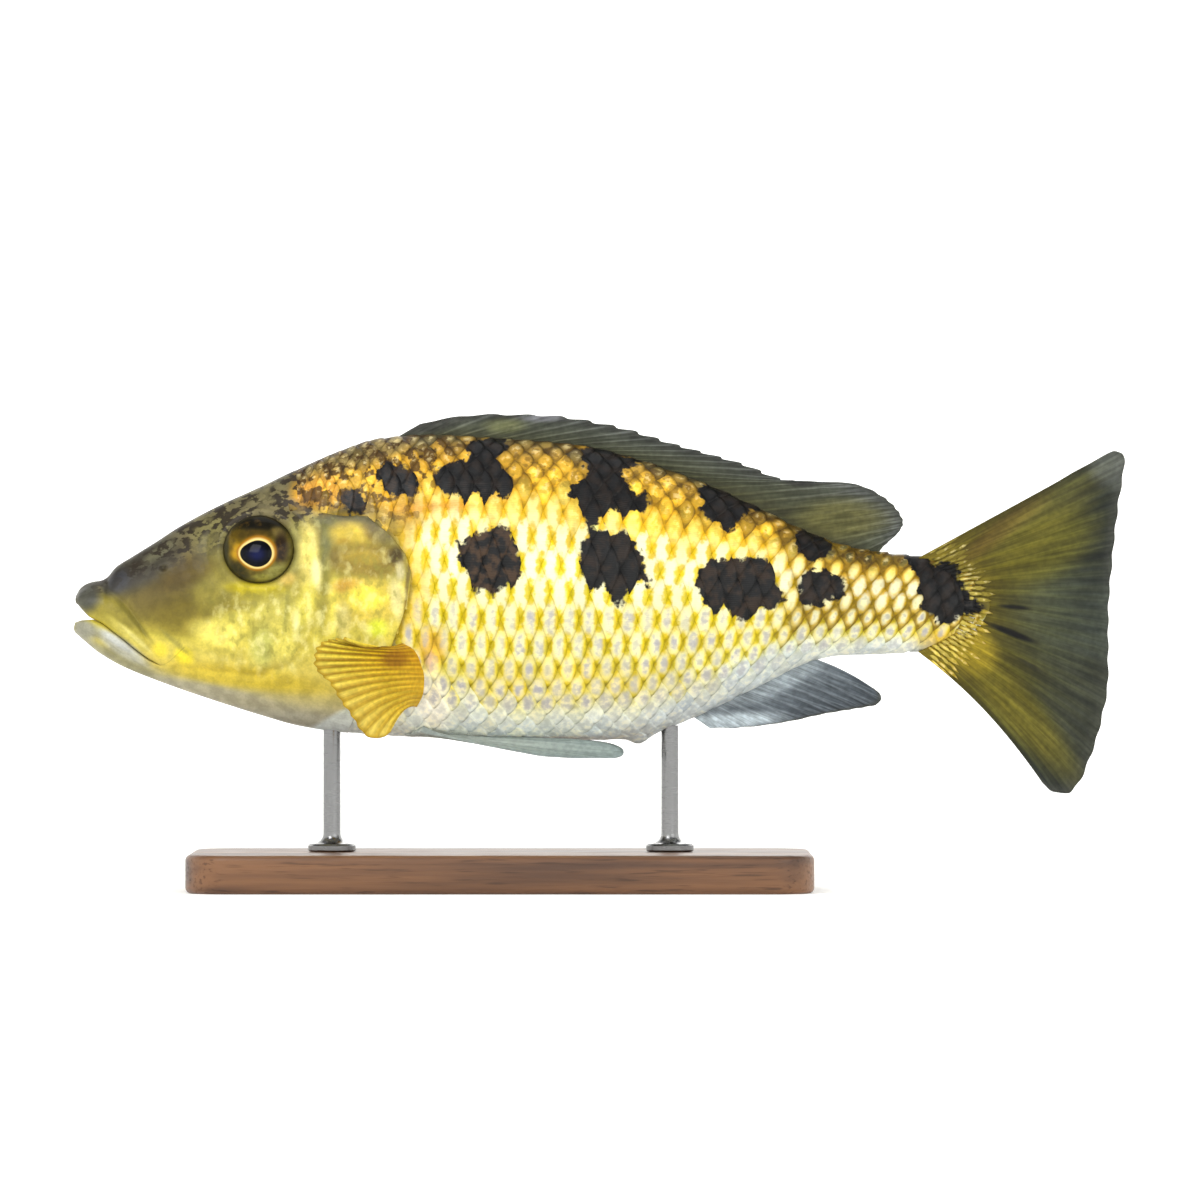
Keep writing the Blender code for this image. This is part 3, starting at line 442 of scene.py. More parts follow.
@dataclass(frozen=True)
class Markings:
    """The colours and blotches that the skin and the scales share, by place in side view."""

    form: BodyForm
    head: HeadForm
    blotches: tuple[Blotch, ...] = (
        Blotch(((-46.4, 87.7), (-44.5, 89), (-42.6, 88.5), (-41, 87.7), (-38.9, 86.3),
                (-38.2, 84.4), (-39.4, 82.8), (-41.3, 82.3), (-43.2, 83.1), (-45.1, 83.9),
                (-45.9, 85.5)), 0.25),
        Blotch(((-53.2, 82.3), (-51.8, 83.1), (-50.2, 82.8), (-48.6, 81.2), (-48, 79.6),
                (-50.2, 79), (-51.8, 79.6), (-52.9, 80.6)), 0.3),
        Blotch(((-34.2, 86.6), (-32.9, 88.2), (-31, 88.5), (-28.6, 89.3), (-27.2, 90.4),
                (-27.6, 92.8), (-26.1, 93.6), (-23.7, 93.9), (-21.8, 94.4), (-20.2, 94),
                (-19.7, 92.4), (-21.5, 91.4), (-22.1, 90.1), (-21, 87.9), (-18.8, 85.8),
                (-18.6, 84.4), (-19.9, 82.8), (-22.4, 82.3), (-24.5, 81.7), (-27.2, 82.3),
                (-28.8, 81.2), (-30.2, 82), (-32.9, 83.9), (-34, 85))),
        Blotch(((-6.7, 83.3), (-4.5, 85), (-1.6, 86.3), (-3.2, 88.7), (-3.7, 90.9),
                (-3.2, 92.4), (-0.8, 92.7), (1.4, 92), (4.9, 90.4), (8.1, 89.5),
                (7.1, 88.7), (5.2, 88.2), (3.8, 87.7), (4.4, 86.3), (5.7, 84.7),
                (6.8, 82.3), (8.1, 81.6), (9.2, 82.8), (9.9, 81.2), (8.4, 79),
                (6.3, 78.8), (4.1, 79.3), (2.5, 78.8), (0.9, 79), (-0.5, 77.9),
                (-1.3, 76.6), (-2.1, 76.3), (-2.9, 77.4), (-3.4, 78.8), (-4.5, 80.1),
                (-5.9, 81.7))),
        Blotch(((21.1, 83.9), (23, 85.2), (25.7, 84.7), (28.4, 83.3), (30.8, 82.8),
                (33.3, 81.5), (34.9, 80.1), (33.5, 79.6), (31.1, 80.1), (29.5, 79),
                (28.4, 77.9), (27.9, 75.5), (26.8, 75.2), (25.2, 76.3), (23.8, 76.9),
                (22.5, 77.9), (21.1, 79.6), (21.6, 81.2), (21.1, 82.5))),
        Blotch(((41.1, 71.8), (41.6, 74.9), (42.8, 76), (44.6, 75.4), (46.1, 73.6),
                (47.9, 71.8), (47.9, 70.3), (46.1, 69.6), (44.6, 69), (43.3, 69.8),
                (41.1, 71.1))),
        Blotch(((-29.6, 72.4), (-27.8, 73.4), (-24, 74.6), (-21.2, 75.4), (-19.2, 74.4),
                (-18.6, 71.5), (-18.2, 69.3), (-16.8, 67.7), (-16.6, 64.6), (-18.9, 64),
                (-20.9, 63.4), (-22.1, 61.6), (-23.2, 62.4), (-23.9, 63.6), (-25.5, 62.4),
                (-26.2, 63.2), (-26.6, 65.6), (-28.4, 67.3), (-30, 69.3), (-28.6, 70.9)), 0.6),
        Blotch(((-4, 71.5), (-3.2, 73.6), (-1.6, 74.2), (0.3, 73.9), (2.2, 74.2),
                (4.1, 73.4), (5.2, 73.9), (6.5, 73.1), (7.3, 71.5), (8.7, 70.7),
                (8.4, 68.8), (9.2, 66.6), (10.6, 65), (10, 63.4), (7.9, 63.9),
                (6.3, 63.4), (5.2, 62.8), (4.6, 61.2), (3.8, 59.6), (3, 60.7),
                (2.5, 62.3), (0.9, 63.4), (-0.8, 62.6), (-2.1, 63.9), (-2.9, 65.5),
                (-4, 67.1), (-4, 68.8), (-4.5, 70.4)), 0.15),
        Blotch(((19.5, 65.5), (21.6, 67.7), (23.8, 68.5), (25.7, 69.3), (27.9, 68.8),
                (30, 69.3), (32.2, 68.8), (33.8, 69.3), (34.9, 67.7), (36, 66.1),
                (35.7, 63.9), (38.1, 62.3), (38.7, 61.2), (36.5, 60.1), (34.9, 59),
                (32.4, 58.8), (30.8, 57.2), (29.5, 56.3), (27.9, 58), (26.2, 59),
                (25.4, 60.7), (24.3, 58.5), (23, 58.2), (21.9, 60.1), (20.8, 61.7),
                (19.8, 63.4)), 0.25),
        Blotch(((41.3, 63.7), (42.8, 65.8), (44.6, 66.8), (46.6, 66.5), (48.7, 65.8),
                (50.2, 64.2), (50.7, 62.2), (50.2, 61.2), (47.6, 60.9), (45.9, 59.7),
                (44.1, 60.2), (42.1, 60.2), (41.6, 61.7), (42.6, 62.2)), 0.2),
        Blotch(((63.6, 70.3), (64.9, 70.8), (67.4, 71.1), (68.9, 69.8), (68.1, 67.8),
                (69.9, 67.3), (71.2, 68.5), (74.5, 68), (74.7, 66.8), (74.5, 65.3),
                (75.7, 63.7), (76.5, 61.7), (78, 60.2), (80.3, 58.9), (79, 58.2),
                (76.5, 57.9), (74.5, 57.1), (73, 56.6), (71.9, 55.6), (70.4, 55.6),
                (70.2, 57.7), (68.4, 58.2), (66.9, 59.4), (67.4, 61.7), (65.9, 62.2),
                (66.9, 63.7), (67.1, 65.3), (65.6, 66.8), (64.3, 68.8))),
    )
    # By height from belly to back, partly painted light: the bluish grey at the belly is painted shade, and
    # the darkest stops at the back's top edge are painted shade at the dorsal fin's base.
    margin_stops: Stops = (
        (0, "#ccd3d0"), (0.06, "#dae0d6"), (0.12, "#dfe0bc"), (0.20, "#d9c73a"), (0.34, "#d8bd18"),
        (0.46, "#d9c00c"), (0.56, "#dec608"), (0.68, "#e0ba0c"), (0.76, "#ebb818"), (0.84, "#dea61c"),
        (0.92, "#c4962a"), (0.97, "#7c6026"), (1, "#544c32"))
    centre_stops: Stops = (
        (0, "#ced5d0"), (0.08, "#dee3da"), (0.14, "#e2e3cc"), (0.24, "#e4dfae"), (0.38, "#e7e1a8"),
        (0.46, "#ebe4ae"), (0.56, "#f4eec6"), (0.68, "#f8f0bc"), (0.75, "#f8e68c"), (0.81, "#fad450"),
        (0.89, "#f0bc38"), (0.95, "#cc9e38"), (1, "#7f6e3c"))
    spread_line: Line = (
        (0, 1.3), (0.10, 1.1), (0.20, 0.66), (0.34, 0.66), (0.46, 0.80), (0.56, 0.94), (0.72, 0.92),
        (0.84, 0.70), (1, 0.62))
    netted_line: Line = (
        (0, 0.5), (0.10, 0.45), (0.20, 0.35), (0.36, 0.25), (0.46, 0.12), (0.68, 0.1), (0.77, 0.4),
        (0.84, 0.8), (1, 0.9))  # how far the pigment rings each scale
    trunk_washes: tuple[Wash, ...] = (
        Wash("#c08a20", -30, 87.5, 32, 11, -4, 0.3),
        Wash("#84744a", -47, 92, 28, 6, 22),
        Wash("#c8962a", -49, 86, 12, 6, 20, 0.6),
        Wash("#c28e1e", -43.5, 78.6, 15, 10, 6),
        Wash("#dc8f38", -30, 80.2, 24, 1.1, 5, 0.6),
        Wash("#eca838", -58, 83.2, 10, 6.4, 14, 0.85),
        Wash("#e6b43c", -51, 84.6, 7, 6, 20, 0.7),
        Wash("#8f7c42", -45, 77.6, 9.5, 3.6, -26, 0.75),
        Wash("#d8a42c", -35, 50.5, 5.5, 8),
        Wash("#f4eedc", -35, 39.5, 7.5, 13, 0, 0.85),
        Wash("#e4e8da", -43, 34.5, 14, 6, 0, 0.75),
        Wash("#c0a0a8", -35.4, 48, 1.6, 4.4, 0, 0.6),
        # Painted shade: bluish grey along the underside of the lower flank, above the anal fin.
        Wash("#c4cdd2", 26, 42, 44, 7, 28, 0.55),
        Wash("#c6cbc4", 60, 49.6, 26, 3.6, 3),
        Wash("#c9a326", 73, 51.8, 14, 5, -8),
        Wash("#55502e", 58, 70.8, 36, 6.4, -5, 0.95, 0.35),
        Wash("#c8a224", -6, 43, 50, 9, 0, 0.25),
        Wash("#6b6026", 80.4, 61.6, 6.4, 9, 0, 0.95),
    )
    head_stops: Stops = (
        (0, "#a39d86"), (0.07, "#b5ad88"), (0.15, "#cfbb5a"), (0.34, "#d2c24c"), (0.55, "#a99a3e"),
        (0.72, "#80733c"), (0.88, "#746a48"), (1, "#5c5744"))
    head_washes: tuple[Wash, ...] = (
        Wash("#584b25", -89, 63.5, 22, 12, 25, 0.85),
        Wash("#6a5c1a", -84, 57.8, 20, 9, 8),
        Wash("#8f8536", -80.5, 64.5, 9, 13, 0, 0.7),
        Wash("#4e3e16", -86, 66.4, 13, 5.4, 24, 0.65),
        Wash("#37342c", -95, 67.6, 18, 7, 34, 0.85),
        Wash("#33343a", -100.6, 64.6, 6, 4.6, 40),
        Wash("#7c7a5a", -92, 70.4, 8, 2.2, 36, 0.5),
        Wash("#776e48", -75, 80, 26, 7, 25, 0.6),
        Wash("#76703c", -80, 73.5, 9, 9, 25, 0.6),
        Wash("#9a9450", -63.4, 71.5, 3.6, 12, 0, 0.75),
        Wash("#c0ae1a", -71.8, 63, 11, 2.8, -2, 0.95),
        Wash("#9c9034", -70.5, 60, 12, 5, 0, 0.75),
        Wash("#d9b85c", -64.8, 64.9, 3.4, 2.4, 20, 0.7),
        Wash("#c9be5c", -66, 57, 14, 10, 0, 0.6),
        Wash("#8f8a3c", -65.2, 58.2, 1, 9, -6, 0.7),
        Wash("#9c943e", -61.6, 57, 0.9, 9, -16, 0.6),
        Wash("#efefc4", -62.9, 56.6, 1.2, 5, -8, 0.7),
        Wash("#f0e06c", -79.6, 53.8, 11, 5, -14, 0.85),
        Wash("#e8da62", -76.6, 56.4, 8, 4, 0, 0.6),
        Wash("#b4b562", -70.2, 50.8, 5, 8, 0, 0.7),
        Wash("#d8cc62", -65.5, 50, 5, 6, 0, 0.6),
        Wash("#cbb234", -75, 44.6, 34, 4.6, -7, 0.85),
        Wash("#e8d22c", -86.6, 48.9, 4, 3.4, -30, 0.85),
        Wash("#e0cc3a", -91.6, 50.2, 3.4, 3, -40),
        Wash("#8f8740", -88.4, 51.8, 1, 8, 48, 0.6),
        Wash("#efdc74", -60.4, 70, 4.2, 15, 0, 0.9),
        # A painted highlight on the bright band behind the eye.
        Wash("#fff6b0", -58.9, 66.2, 2.2, 6, 0, 0.85),
        Wash("#ddcf50", -61, 60, 3.6, 9, -10, 0.7),
        # Olive band along the preopercle's groove, darkened as painted shade in the groove.
        Wash("#77774a", -57, 72, 2.2, 12, 0, 0.85),
        Wash("#8c8434", -57.3, 61.5, 1.4, 14, -4),
        Wash("#ece05a", -55.1, 59, 2, 12, 0, 0.75),
        Wash("#6d6a3c", -56.8, 77.2, 5, 3),
        Wash("#e3c64e", -47.5, 60.5, 15, 9),
        Wash("#e6c455", -51.6, 63.6, 7, 3.4, 0, 0.7),
        Wash("#d9bc46", -51, 74.2, 9.4, 4.8, -4, 0.95),
        Wash("#9c7c28", -47.6, 74.6, 2.4, 3.6, 24, 0.7),
        Wash("#a5852c", -53.4, 72.8, 3, 1.4, 12, 0.6),
        Wash("#8d7730", -48.2, 68.9, 15, 7, -3, 0.9, 0.35),
        Wash("#b79c38", -49, 69.6, 9, 3, -3, 0.75),
        Wash("#46381a", -42.2, 69.8, 3.2, 3.8, -20, 0.9),
        Wash("#b0822a", -53, 63.6, 4.6, 2.6, 10, 0.65),
        Wash("#75642c", -55, 69.4, 2, 4.2),
        Wash("#efdf46", -48.6, 60.9, 8, 5),
        Wash("#e4ee3c", -46.2, 54.8, 4, 3.6),
        Wash("#c9bc74", -53.4, 56.5, 3.6, 7, 0, 0.7),
        Wash("#ded394", -42.2, 61, 2.6, 9, 8),
        Wash("#d6cca0", -41.4, 66.6, 1.8, 4),
        # Painted shadow: a thin dark line along the gill cover's free rear edge.
        Wash("#5c4a28", -39.8, 65, 0.7, 14, -6, 0.7),
        Wash("#d8c040", -51.5, 47.5, 10, 8, 0, 0.6),
        Wash("#6e6340", -45.4, 75.6, 7, 6, -34, 0.85),
        Wash("#585338", -50.8, 78.6, 13, 3, -8, 0.85),
        Wash("#d0923a", -58.5, 83, 11, 7, 12, 0.9),
        Wash("#dcb64a", -57.6, 79.4, 4, 3, 0, 0.6),
        Wash("#cf9f34", -51, 85.2, 8, 5, 20),
        Wash("#5e4a26", -54, 81.8, 3, 4.6, 10, 0.7),
        Wash("#b0a88a", -78, 40.4, 26, 3.4, -14),
        Wash("#aca894", -60, 35.2, 26, 3.6, -8, 0.85),
        Wash("#938d64", -99.5, 47.8, 16, 3.2, -30, 0.85),
        Wash("#b3b19c", -99.8, 50.9, 13, 3.4, -34, 0.95, 0.35),
        Wash("#c9cbc6", -100.5, 51.9, 8, 1.8, -34),
        Wash("#99968a", -107.6, 54.8, 4.4, 3, -20, 0.9),
        Wash("#887c2e", -101, 57.6, 12, 5, -46, 0.85),
        # Painted highlight along the round middle of the upper lip.
        Wash("#cbbc58", -97.6, 53, 11, 2, -40, 0.95, 0.5),
        Wash("#ddd178", -96.6, 52.6, 8, 0.9, -42),
        Wash("#756c2e", -97.2, 56.6, 1.1, 11, 40, 0.6),
        Wash("#9a9884", -107.2, 54.2, 5.4, 3.6, -20, 0.9),
        Wash("#4b4b43", -107, 61.3, 5.4, 6.4, -20, 0.95),
        Wash("#3d3a2e", -103.3, 63.6, 1.5, 3.4, 24),
    )
    bleed: float = 0.2  # how far the black runs beyond the outlines
    coat_front: Line = (
        (28, -61), (34, -60), (37.5, -54), (39, -49), (44.9, -45.6), (51.2, -42.4),
        (57, -40.1), (62, -38.7), (65.8, -38.3), (69.8, -39.5), (74.2, -42.7), (77.7, -46.6),
        (79, -52), (80.2, -59), (82, -63.6), (90, -64.5), (96, -64.5))

    def coat_edge(self, z: Array) -> Array:
        """How far forward the scales reach at height z."""
        places = np.array(self.coat_front)
        return np.interp(z, places[:, 0], places[:, 1])

    def depth(self, x: Array, z: Array) -> Array:
        """How far inside the nearest blotch points lie, negative outside them all."""
        return np.max([depth_inside(x, z, blotch.outline) for blotch in self.blotches], axis=0) + self.bleed

    def brown(self, x: Array, z: Array) -> Array:
        """How brown the nearest blotch is."""
        depths = np.array([depth_inside(x, z, blotch.outline) for blotch in self.blotches])
        return np.array([blotch.brown for blotch in self.blotches])[depths.argmax(axis=0)]

    def trunk(self, stops: Stops, x: Array, z: Array, nudge: Array = 0.0) -> Array:
        """Colours by height, with the trunk's washes and the golden scales behind the gill cover.

        Args:
            stops: Colours from belly to back.
            x: Places along the body.
            z: Their heights.
            nudge: Added to the share of the height.

        Returns:
            sRGB colours.
        """
        colours = washed(ramp(stops, self.form.height_share(x, z) + nudge), self.trunk_washes, x, z)
        near = 0.65 * smooth_step((5.5 - x + self.coat_edge(z)) / 5.0)
        near = near * smooth_step(z, 50, 6) * smooth_step(z, 82, -8)
        return colours + (srgb("#dfba48") - colours) * near[..., None]

    def bare(self, x: Array, z: Array) -> Array:
        """The colour of the head's bare skin."""
        return washed(ramp(self.head_stops, self.form.height_share(x, z)), self.head_washes, x, z)

    def skin(self, x: Array, z: Array) -> Array:
        """The colour of the skin: the head's own, and between the scales that of their rims."""
        share = smooth_step((x - self.coat_edge(z) + 1.5) / 2.5)[..., None]
        return self.bare(x, z) * (1 - share) + self.trunk(self.margin_stops, x, z) * share

    def mottle(self, x: Array, z: Array) -> Array:
        """Works out where dark specks show: from the forehead along the back.

        Args:
            x: Places along the body.
            z: Their heights.

        Returns:
            How strongly, from 0 to 1.
        """
        share = self.form.height_share(x, z)
        forehead = smooth_step(share, 0.70, 0.16) * smooth_step(x, -106, 6) * smooth_step(x, -46, -10)
        nape = smooth_step(share, 0.72, 0.14) * smooth_step(x, -66, 8) * smooth_step(x, -22, -26)
        shoulder = Wash("#ffffff", -42.0, 79.0, 12.0, 9.0, 0, 1.0).cover(x, z)
        back = 0.6 * smooth_step(share, 0.76, 0.14)
        return np.clip(0.9 * forehead + 0.9 * nape + 0.6 * shoulder + back, 0, 1)

    def pearl(self, x: Array, z: Array) -> Array:
        """Works out where pale pearly patches show: on the cheek and the gill cover.

        Args:
            x: Places along the body.
            z: Their heights.

        Returns:
            How strongly, from 0 to 1.
        """
        cheek = Wash("#ffffff", -68.0, 54.5, 26.0, 17.0, 0, 1.0).cover(x, z)
        cover = Wash("#ffffff", -47.0, 60.0, 17.0, 26.0, 0, 0.9).cover(x, z)
        band = Wash("#ffffff", -60.0, 66.0, 6.0, 26.0).cover(x, z)
        return np.clip(cheek + cover + band, 0, 1) * (self.head.eye_radius(x, z) > 8.0)


def clear_selection() -> None:
    """Deselects everything, because an operator acts on all that is selected."""
    bpy.ops.object.select_all(action="DESELECT")


def new_piece(name: str, points: Array, faces: Sequence[Sequence[int]]) -> Piece:
    """Makes a mesh piece, smooth all over.

    Args:
        name: Its name.
        points: Its points, in millimetres.
        faces: The points of each face.

    Returns:
        The piece.
    """
    mesh = bpy.data.meshes.new(name)
    mesh.from_pydata(np.asarray(points, float) * MM, [], faces)
    mesh.validate()
    made = bpy.data.objects.new(name, mesh)
    bpy.context.scene.collection.objects.link(made)
    mesh.shade_smooth()
    return made


def set_colour(piece: Piece, name: str, colours: Array) -> None:
    """Stores a colour for each vertex.

    Args:
        piece: The piece.
        name: The attribute's name.
        colours: sRGB colours, which are stored as linear ones.
    """
    layer = piece.data.color_attributes.new(name, "FLOAT_COLOR", "POINT")
    values = np.concatenate([to_linear(colours), np.ones((len(colours), 1))], 1)
    layer.data.foreach_set("color", values.astype(np.float32).ravel())


def set_value(piece: Piece, name: str, values: Array) -> None:
    """Stores one number for each vertex."""
    layer = piece.data.attributes.new(name, "FLOAT", "POINT")
    layer.data.foreach_set("value", np.asarray(values, np.float32).ravel())


def set_vector(piece: Piece, name: str, values: Array) -> None:
    """Stores three numbers for each vertex."""
    layer = piece.data.attributes.new(name, "FLOAT_VECTOR", "POINT")
    layer.data.foreach_set("vector", np.asarray(values, np.float32).ravel())


def set_bake_map(piece: Piece, corners: Array) -> None:
    """Stores the map that the export bakes to, by face corner."""
    layer = piece.data.uv_layers.new(name=BAKE_MAP)
    layer.uv.foreach_set("vector", np.asarray(corners, np.float32).ravel())


def set_patches(coat: Piece, roots: Array, local: Array) -> None:
    """Gives each scale a small patch of the bake map.

    Args:
        coat: The joined scales.
        roots: Where each scale lies on the map.
        local: The points' places along and across their scale.
    """
    flat = roots[:, None] + local[None] / np.array(PATCH_SHAPE) * PATCH_SIZE
    corners = np.zeros(len(coat.data.loops), np.int32)
    coat.data.loops.foreach_get("vertex_index", corners)
    set_bake_map(coat, flat.reshape(-1, 2)[corners])


def plate_faces(steps: int) -> tuple[list[int], Faces]:
    """Joins a scale's upper face to a sunk copy of its rim.

    Args:
        steps: Squares along and across the upper face.

    Returns:
        The points of the rim, and the faces of the upper side and the edge.
    """
    n = steps + 1
    rim = [*range(n), *(i * n + steps for i in range(1, n)), *(steps * n + j for j in range(n - 2, -1, -1)),
           *(i * n for i in range(n - 2, 0, -1))]
    faces = [(i * n + j, i * n + j + 1, (i + 1) * n + j + 1, (i + 1) * n + j)
             for i in range(steps) for j in range(steps)]
    count, first = len(rim), n * n
    faces += [(rim[(i + 1) % count], rim[i], first + i, first + (i + 1) % count) for i in range(count)]
    return rim, faces


def hand_over(piece: Piece, nodes: Sequence[str], material: Material) -> None:
    """Gives a finished piece its material, its body and the CAD nodes that it stands for.

    Args:
        piece: The piece.
        nodes: The CAD nodes, or none.
        material: Its material.
    """
    piece.data.materials.append(material)
    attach(piece, "root")
    if nodes:
        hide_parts(*nodes)
    LOG.info("%s: %d faces", piece.name, len(piece.data.polygons))


class Node(Enum):
    """The shader nodes in use: type, fixed settings, the inputs in order and the output read."""

    PLACE = ("TexCoord", {}, (), "Object")
    STRETCH = ("Mapping", {}, ("Vector", "Scale"), 0)
    VALUE = ("Attribute", {}, (), "Fac")
    COLOUR = ("Attribute", {}, (), "Color")
    VECTOR = ("Attribute", {}, (), "Vector")
    APART = ("SeparateXYZ", {}, (0,), 0)
    TOGETHER = ("CombineXYZ", {}, (0, 1, 2), 0)
    NOISE = ("TexNoise", {}, ("Vector", "Scale", "Detail"), 0)
    CELLS = ("TexVoronoi", {"feature": "SMOOTH_F1"}, ("Vector", "Scale"), 0)
    WAVES = ("TexWave", {"bands_direction": "X"}, ("Vector", "Scale", "Distortion", "Detail"), "Fac")
    RANGE = ("MapRange", {"interpolation_type": "SMOOTHSTEP"}, (0, 1, 2, 3, 4), 0)
    PLUS = ("Math", {"operation": "ADD"}, (0, 1), 0)
    MINUS = ("Math", {"operation": "SUBTRACT"}, (0, 1), 0)
    TIMES = ("Math", {"operation": "MULTIPLY"}, (0, 1), 0)
    OVER = ("Math", {"operation": "DIVIDE"}, (0, 1), 0)
    SIZE = ("Math", {"operation": "ABSOLUTE"}, (0,), 0)
    LEAST = ("Math", {"operation": "MINIMUM"}, (0, 1), 0)
    BETWEEN = ("Mix", {}, (0, 2, 3), 0)
    BLEND = ("Mix", {"data_type": "RGBA"}, (0, 6, 7), 2)
    SHADE = ("VectorMath", {"operation": "SCALE"}, (0, 3), 0)
    LENGTH = ("VectorMath", {"operation": "LENGTH"}, (0,), 1)
    BUMP = ("Bump", {}, ("Height", "Distance", "Normal"), 0)


def add_node(material: Material, kind: Node, *inputs: object, **settings: object) -> Socket:
    """Adds a shader node with its settings and links.

    Args:
        material: The material whose tree takes it.
        kind: What the node does.
        inputs: Values, hex colours, or sockets of other nodes, in the kind's order.
        settings: The node's further settings.

    Returns:
        The output socket that the kind names.
    """
    type_name, fixed, sockets, output = kind.value
    tree = material.node_tree
    node = tree.nodes.new("ShaderNode" + type_name)
    for name, value in {**fixed, **settings}.items():
        setattr(node, name, value)
    for socket, value in zip(sockets, inputs):
        if isinstance(value, Socket):
            tree.links.new(value, node.inputs[socket])
        else:
            node.inputs[socket].default_value = linear(value) if isinstance(value, str) else value
    return node.outputs[output]


def fineness(size: float) -> float:
    """The scale at which a pattern's lumps are about size millimetres across."""
    return 1 / (size * MM)


@dataclass(frozen=True)
class Finish:
    """A finish: the shader settings that are the same all over the surface."""

    name: str
    roughness: float = 0.4
    coat: float = 0.0
    coat_roughness: float = 0.1
    metallic: float = 0.0
    specular: float = 0.5
    ior: float = 1.45

    def start(self) -> tuple[Material, Adder, Socket]:
        """Starts the material, with its plain settings made.

        Returns:
            The material, add_node for its tree, and the piece's own coordinates in metres.
        """
        made = bpy.data.materials.new(self.name)
        made.use_nodes = True
        shader = made.node_tree.nodes["Principled BSDF"]
        for socket, value in (("Roughness", self.roughness), ("Coat Weight", self.coat),
                              ("Coat Roughness", self.coat_roughness), ("Metallic", self.metallic),
                              ("Specular IOR Level", self.specular), ("IOR", self.ior)):
            shader.inputs[socket].default_value = value
        add = partial(add_node, made)
        return made, add, add(Node.PLACE)

    def end(self, made: Material, **sockets: Socket) -> Material:
        """Links what was worked out to the shader.

        Args:
            made: The material.
            sockets: What to link, by the name of the shader's socket with _ for each space.

        Returns:
            The finished material.
        """
        shader = made.node_tree.nodes["Principled BSDF"]
        for socket, value in sockets.items():
            made.node_tree.links.new(value, shader.inputs[socket.replace("_", " ")])
        return made


@dataclass(frozen=True)
class WetSkin(Finish):
    """Fish skin under its thin slime: smooth, with a soft wet gloss over mottled pigment."""

    name: str = "wet_fish_skin"
    roughness: float = 0.42
    coat: float = 0.1
    coat_roughness: float = 0.2
    specular: float = 0.2
    dark: str = "#1c1b1b"
    brown: str = "#5b4632"
    speck: str = "#2a2218"
    pale: str = "#fbf2a0"
    olive: str = "#8f8838"
    grime: str = "#2a2620"

    def make(self) -> Material:
        """Makes the finish of the head and of what shows between the scales.

        Returns:
            The material, which reads the skin's stored colour and masks.
        """
        made, add, place = self.start()
        fine = add(Node.NOISE, place, fineness(0.45), 2.0)
        broad = add(Node.NOISE, place, fineness(2.6), 4.0)
        patches = add(Node.NOISE, add(Node.STRETCH, place, (1.0, 1.0, 0.7)), fineness(1.9), 5.0)
        tone = add(Node.SHADE, add(Node.COLOUR, attribute_name="ground"),
                   add(Node.RANGE, broad, 0.34, 0.66, 0.84, 1.12))
        pearl = add(Node.VALUE, attribute_name="pearl")
        glints = add(Node.TIMES, pearl, add(Node.RANGE, patches, 0.49, 0.70, 0.0, 0.45))
        tone = add(Node.BLEND, glints, tone, self.pale)
        veil = add(Node.TIMES, pearl, add(Node.RANGE, patches, 0.34, 0.47, 0.6, 0.0))
        tone = add(Node.BLEND, veil, tone, self.olive)
        specks = add(Node.NOISE, add(Node.STRETCH, place, (0.8, 1.0, 1.2)), fineness(1.6), 4.0)
        clusters = add(Node.NOISE, place, fineness(4.0), 3.0)
        spot = add(Node.TIMES, add(Node.RANGE, specks, 0.455, 0.54, 0.0, 0.95),
                   add(Node.RANGE, clusters, 0.36, 0.52, 0.35, 1.0))
        spot = add(Node.TIMES, spot, add(Node.VALUE, attribute_name="mottle"))
        tone = add(Node.BLEND, spot, tone, self.speck)
        tone = add(Node.BLEND, add(Node.RANGE, fine, 0.35, 0.65, 0.0, 0.10), tone, self.grime)
        black = add(Node.BLEND, add(Node.VALUE, attribute_name="brown"), self.dark, self.brown)
        tone = add(Node.BLEND, add(Node.VALUE, attribute_name="dark"), tone, black)
        rough = add(Node.RANGE, patches, 0.3, 0.7, self.roughness - 0.06, self.roughness + 0.08)
        cells = add(Node.CELLS, place, fineness(2.0))
        plates = add(Node.TIMES, cells, add(Node.VALUE, attribute_name="scaly"))
        normal = add(Node.BUMP, plates, 0.25 * MM, add(Node.BUMP, fine, 0.03 * MM))
        return self.end(made, Base_Color=tone, Roughness=rough, Normal=normal, Coat_Normal=normal)


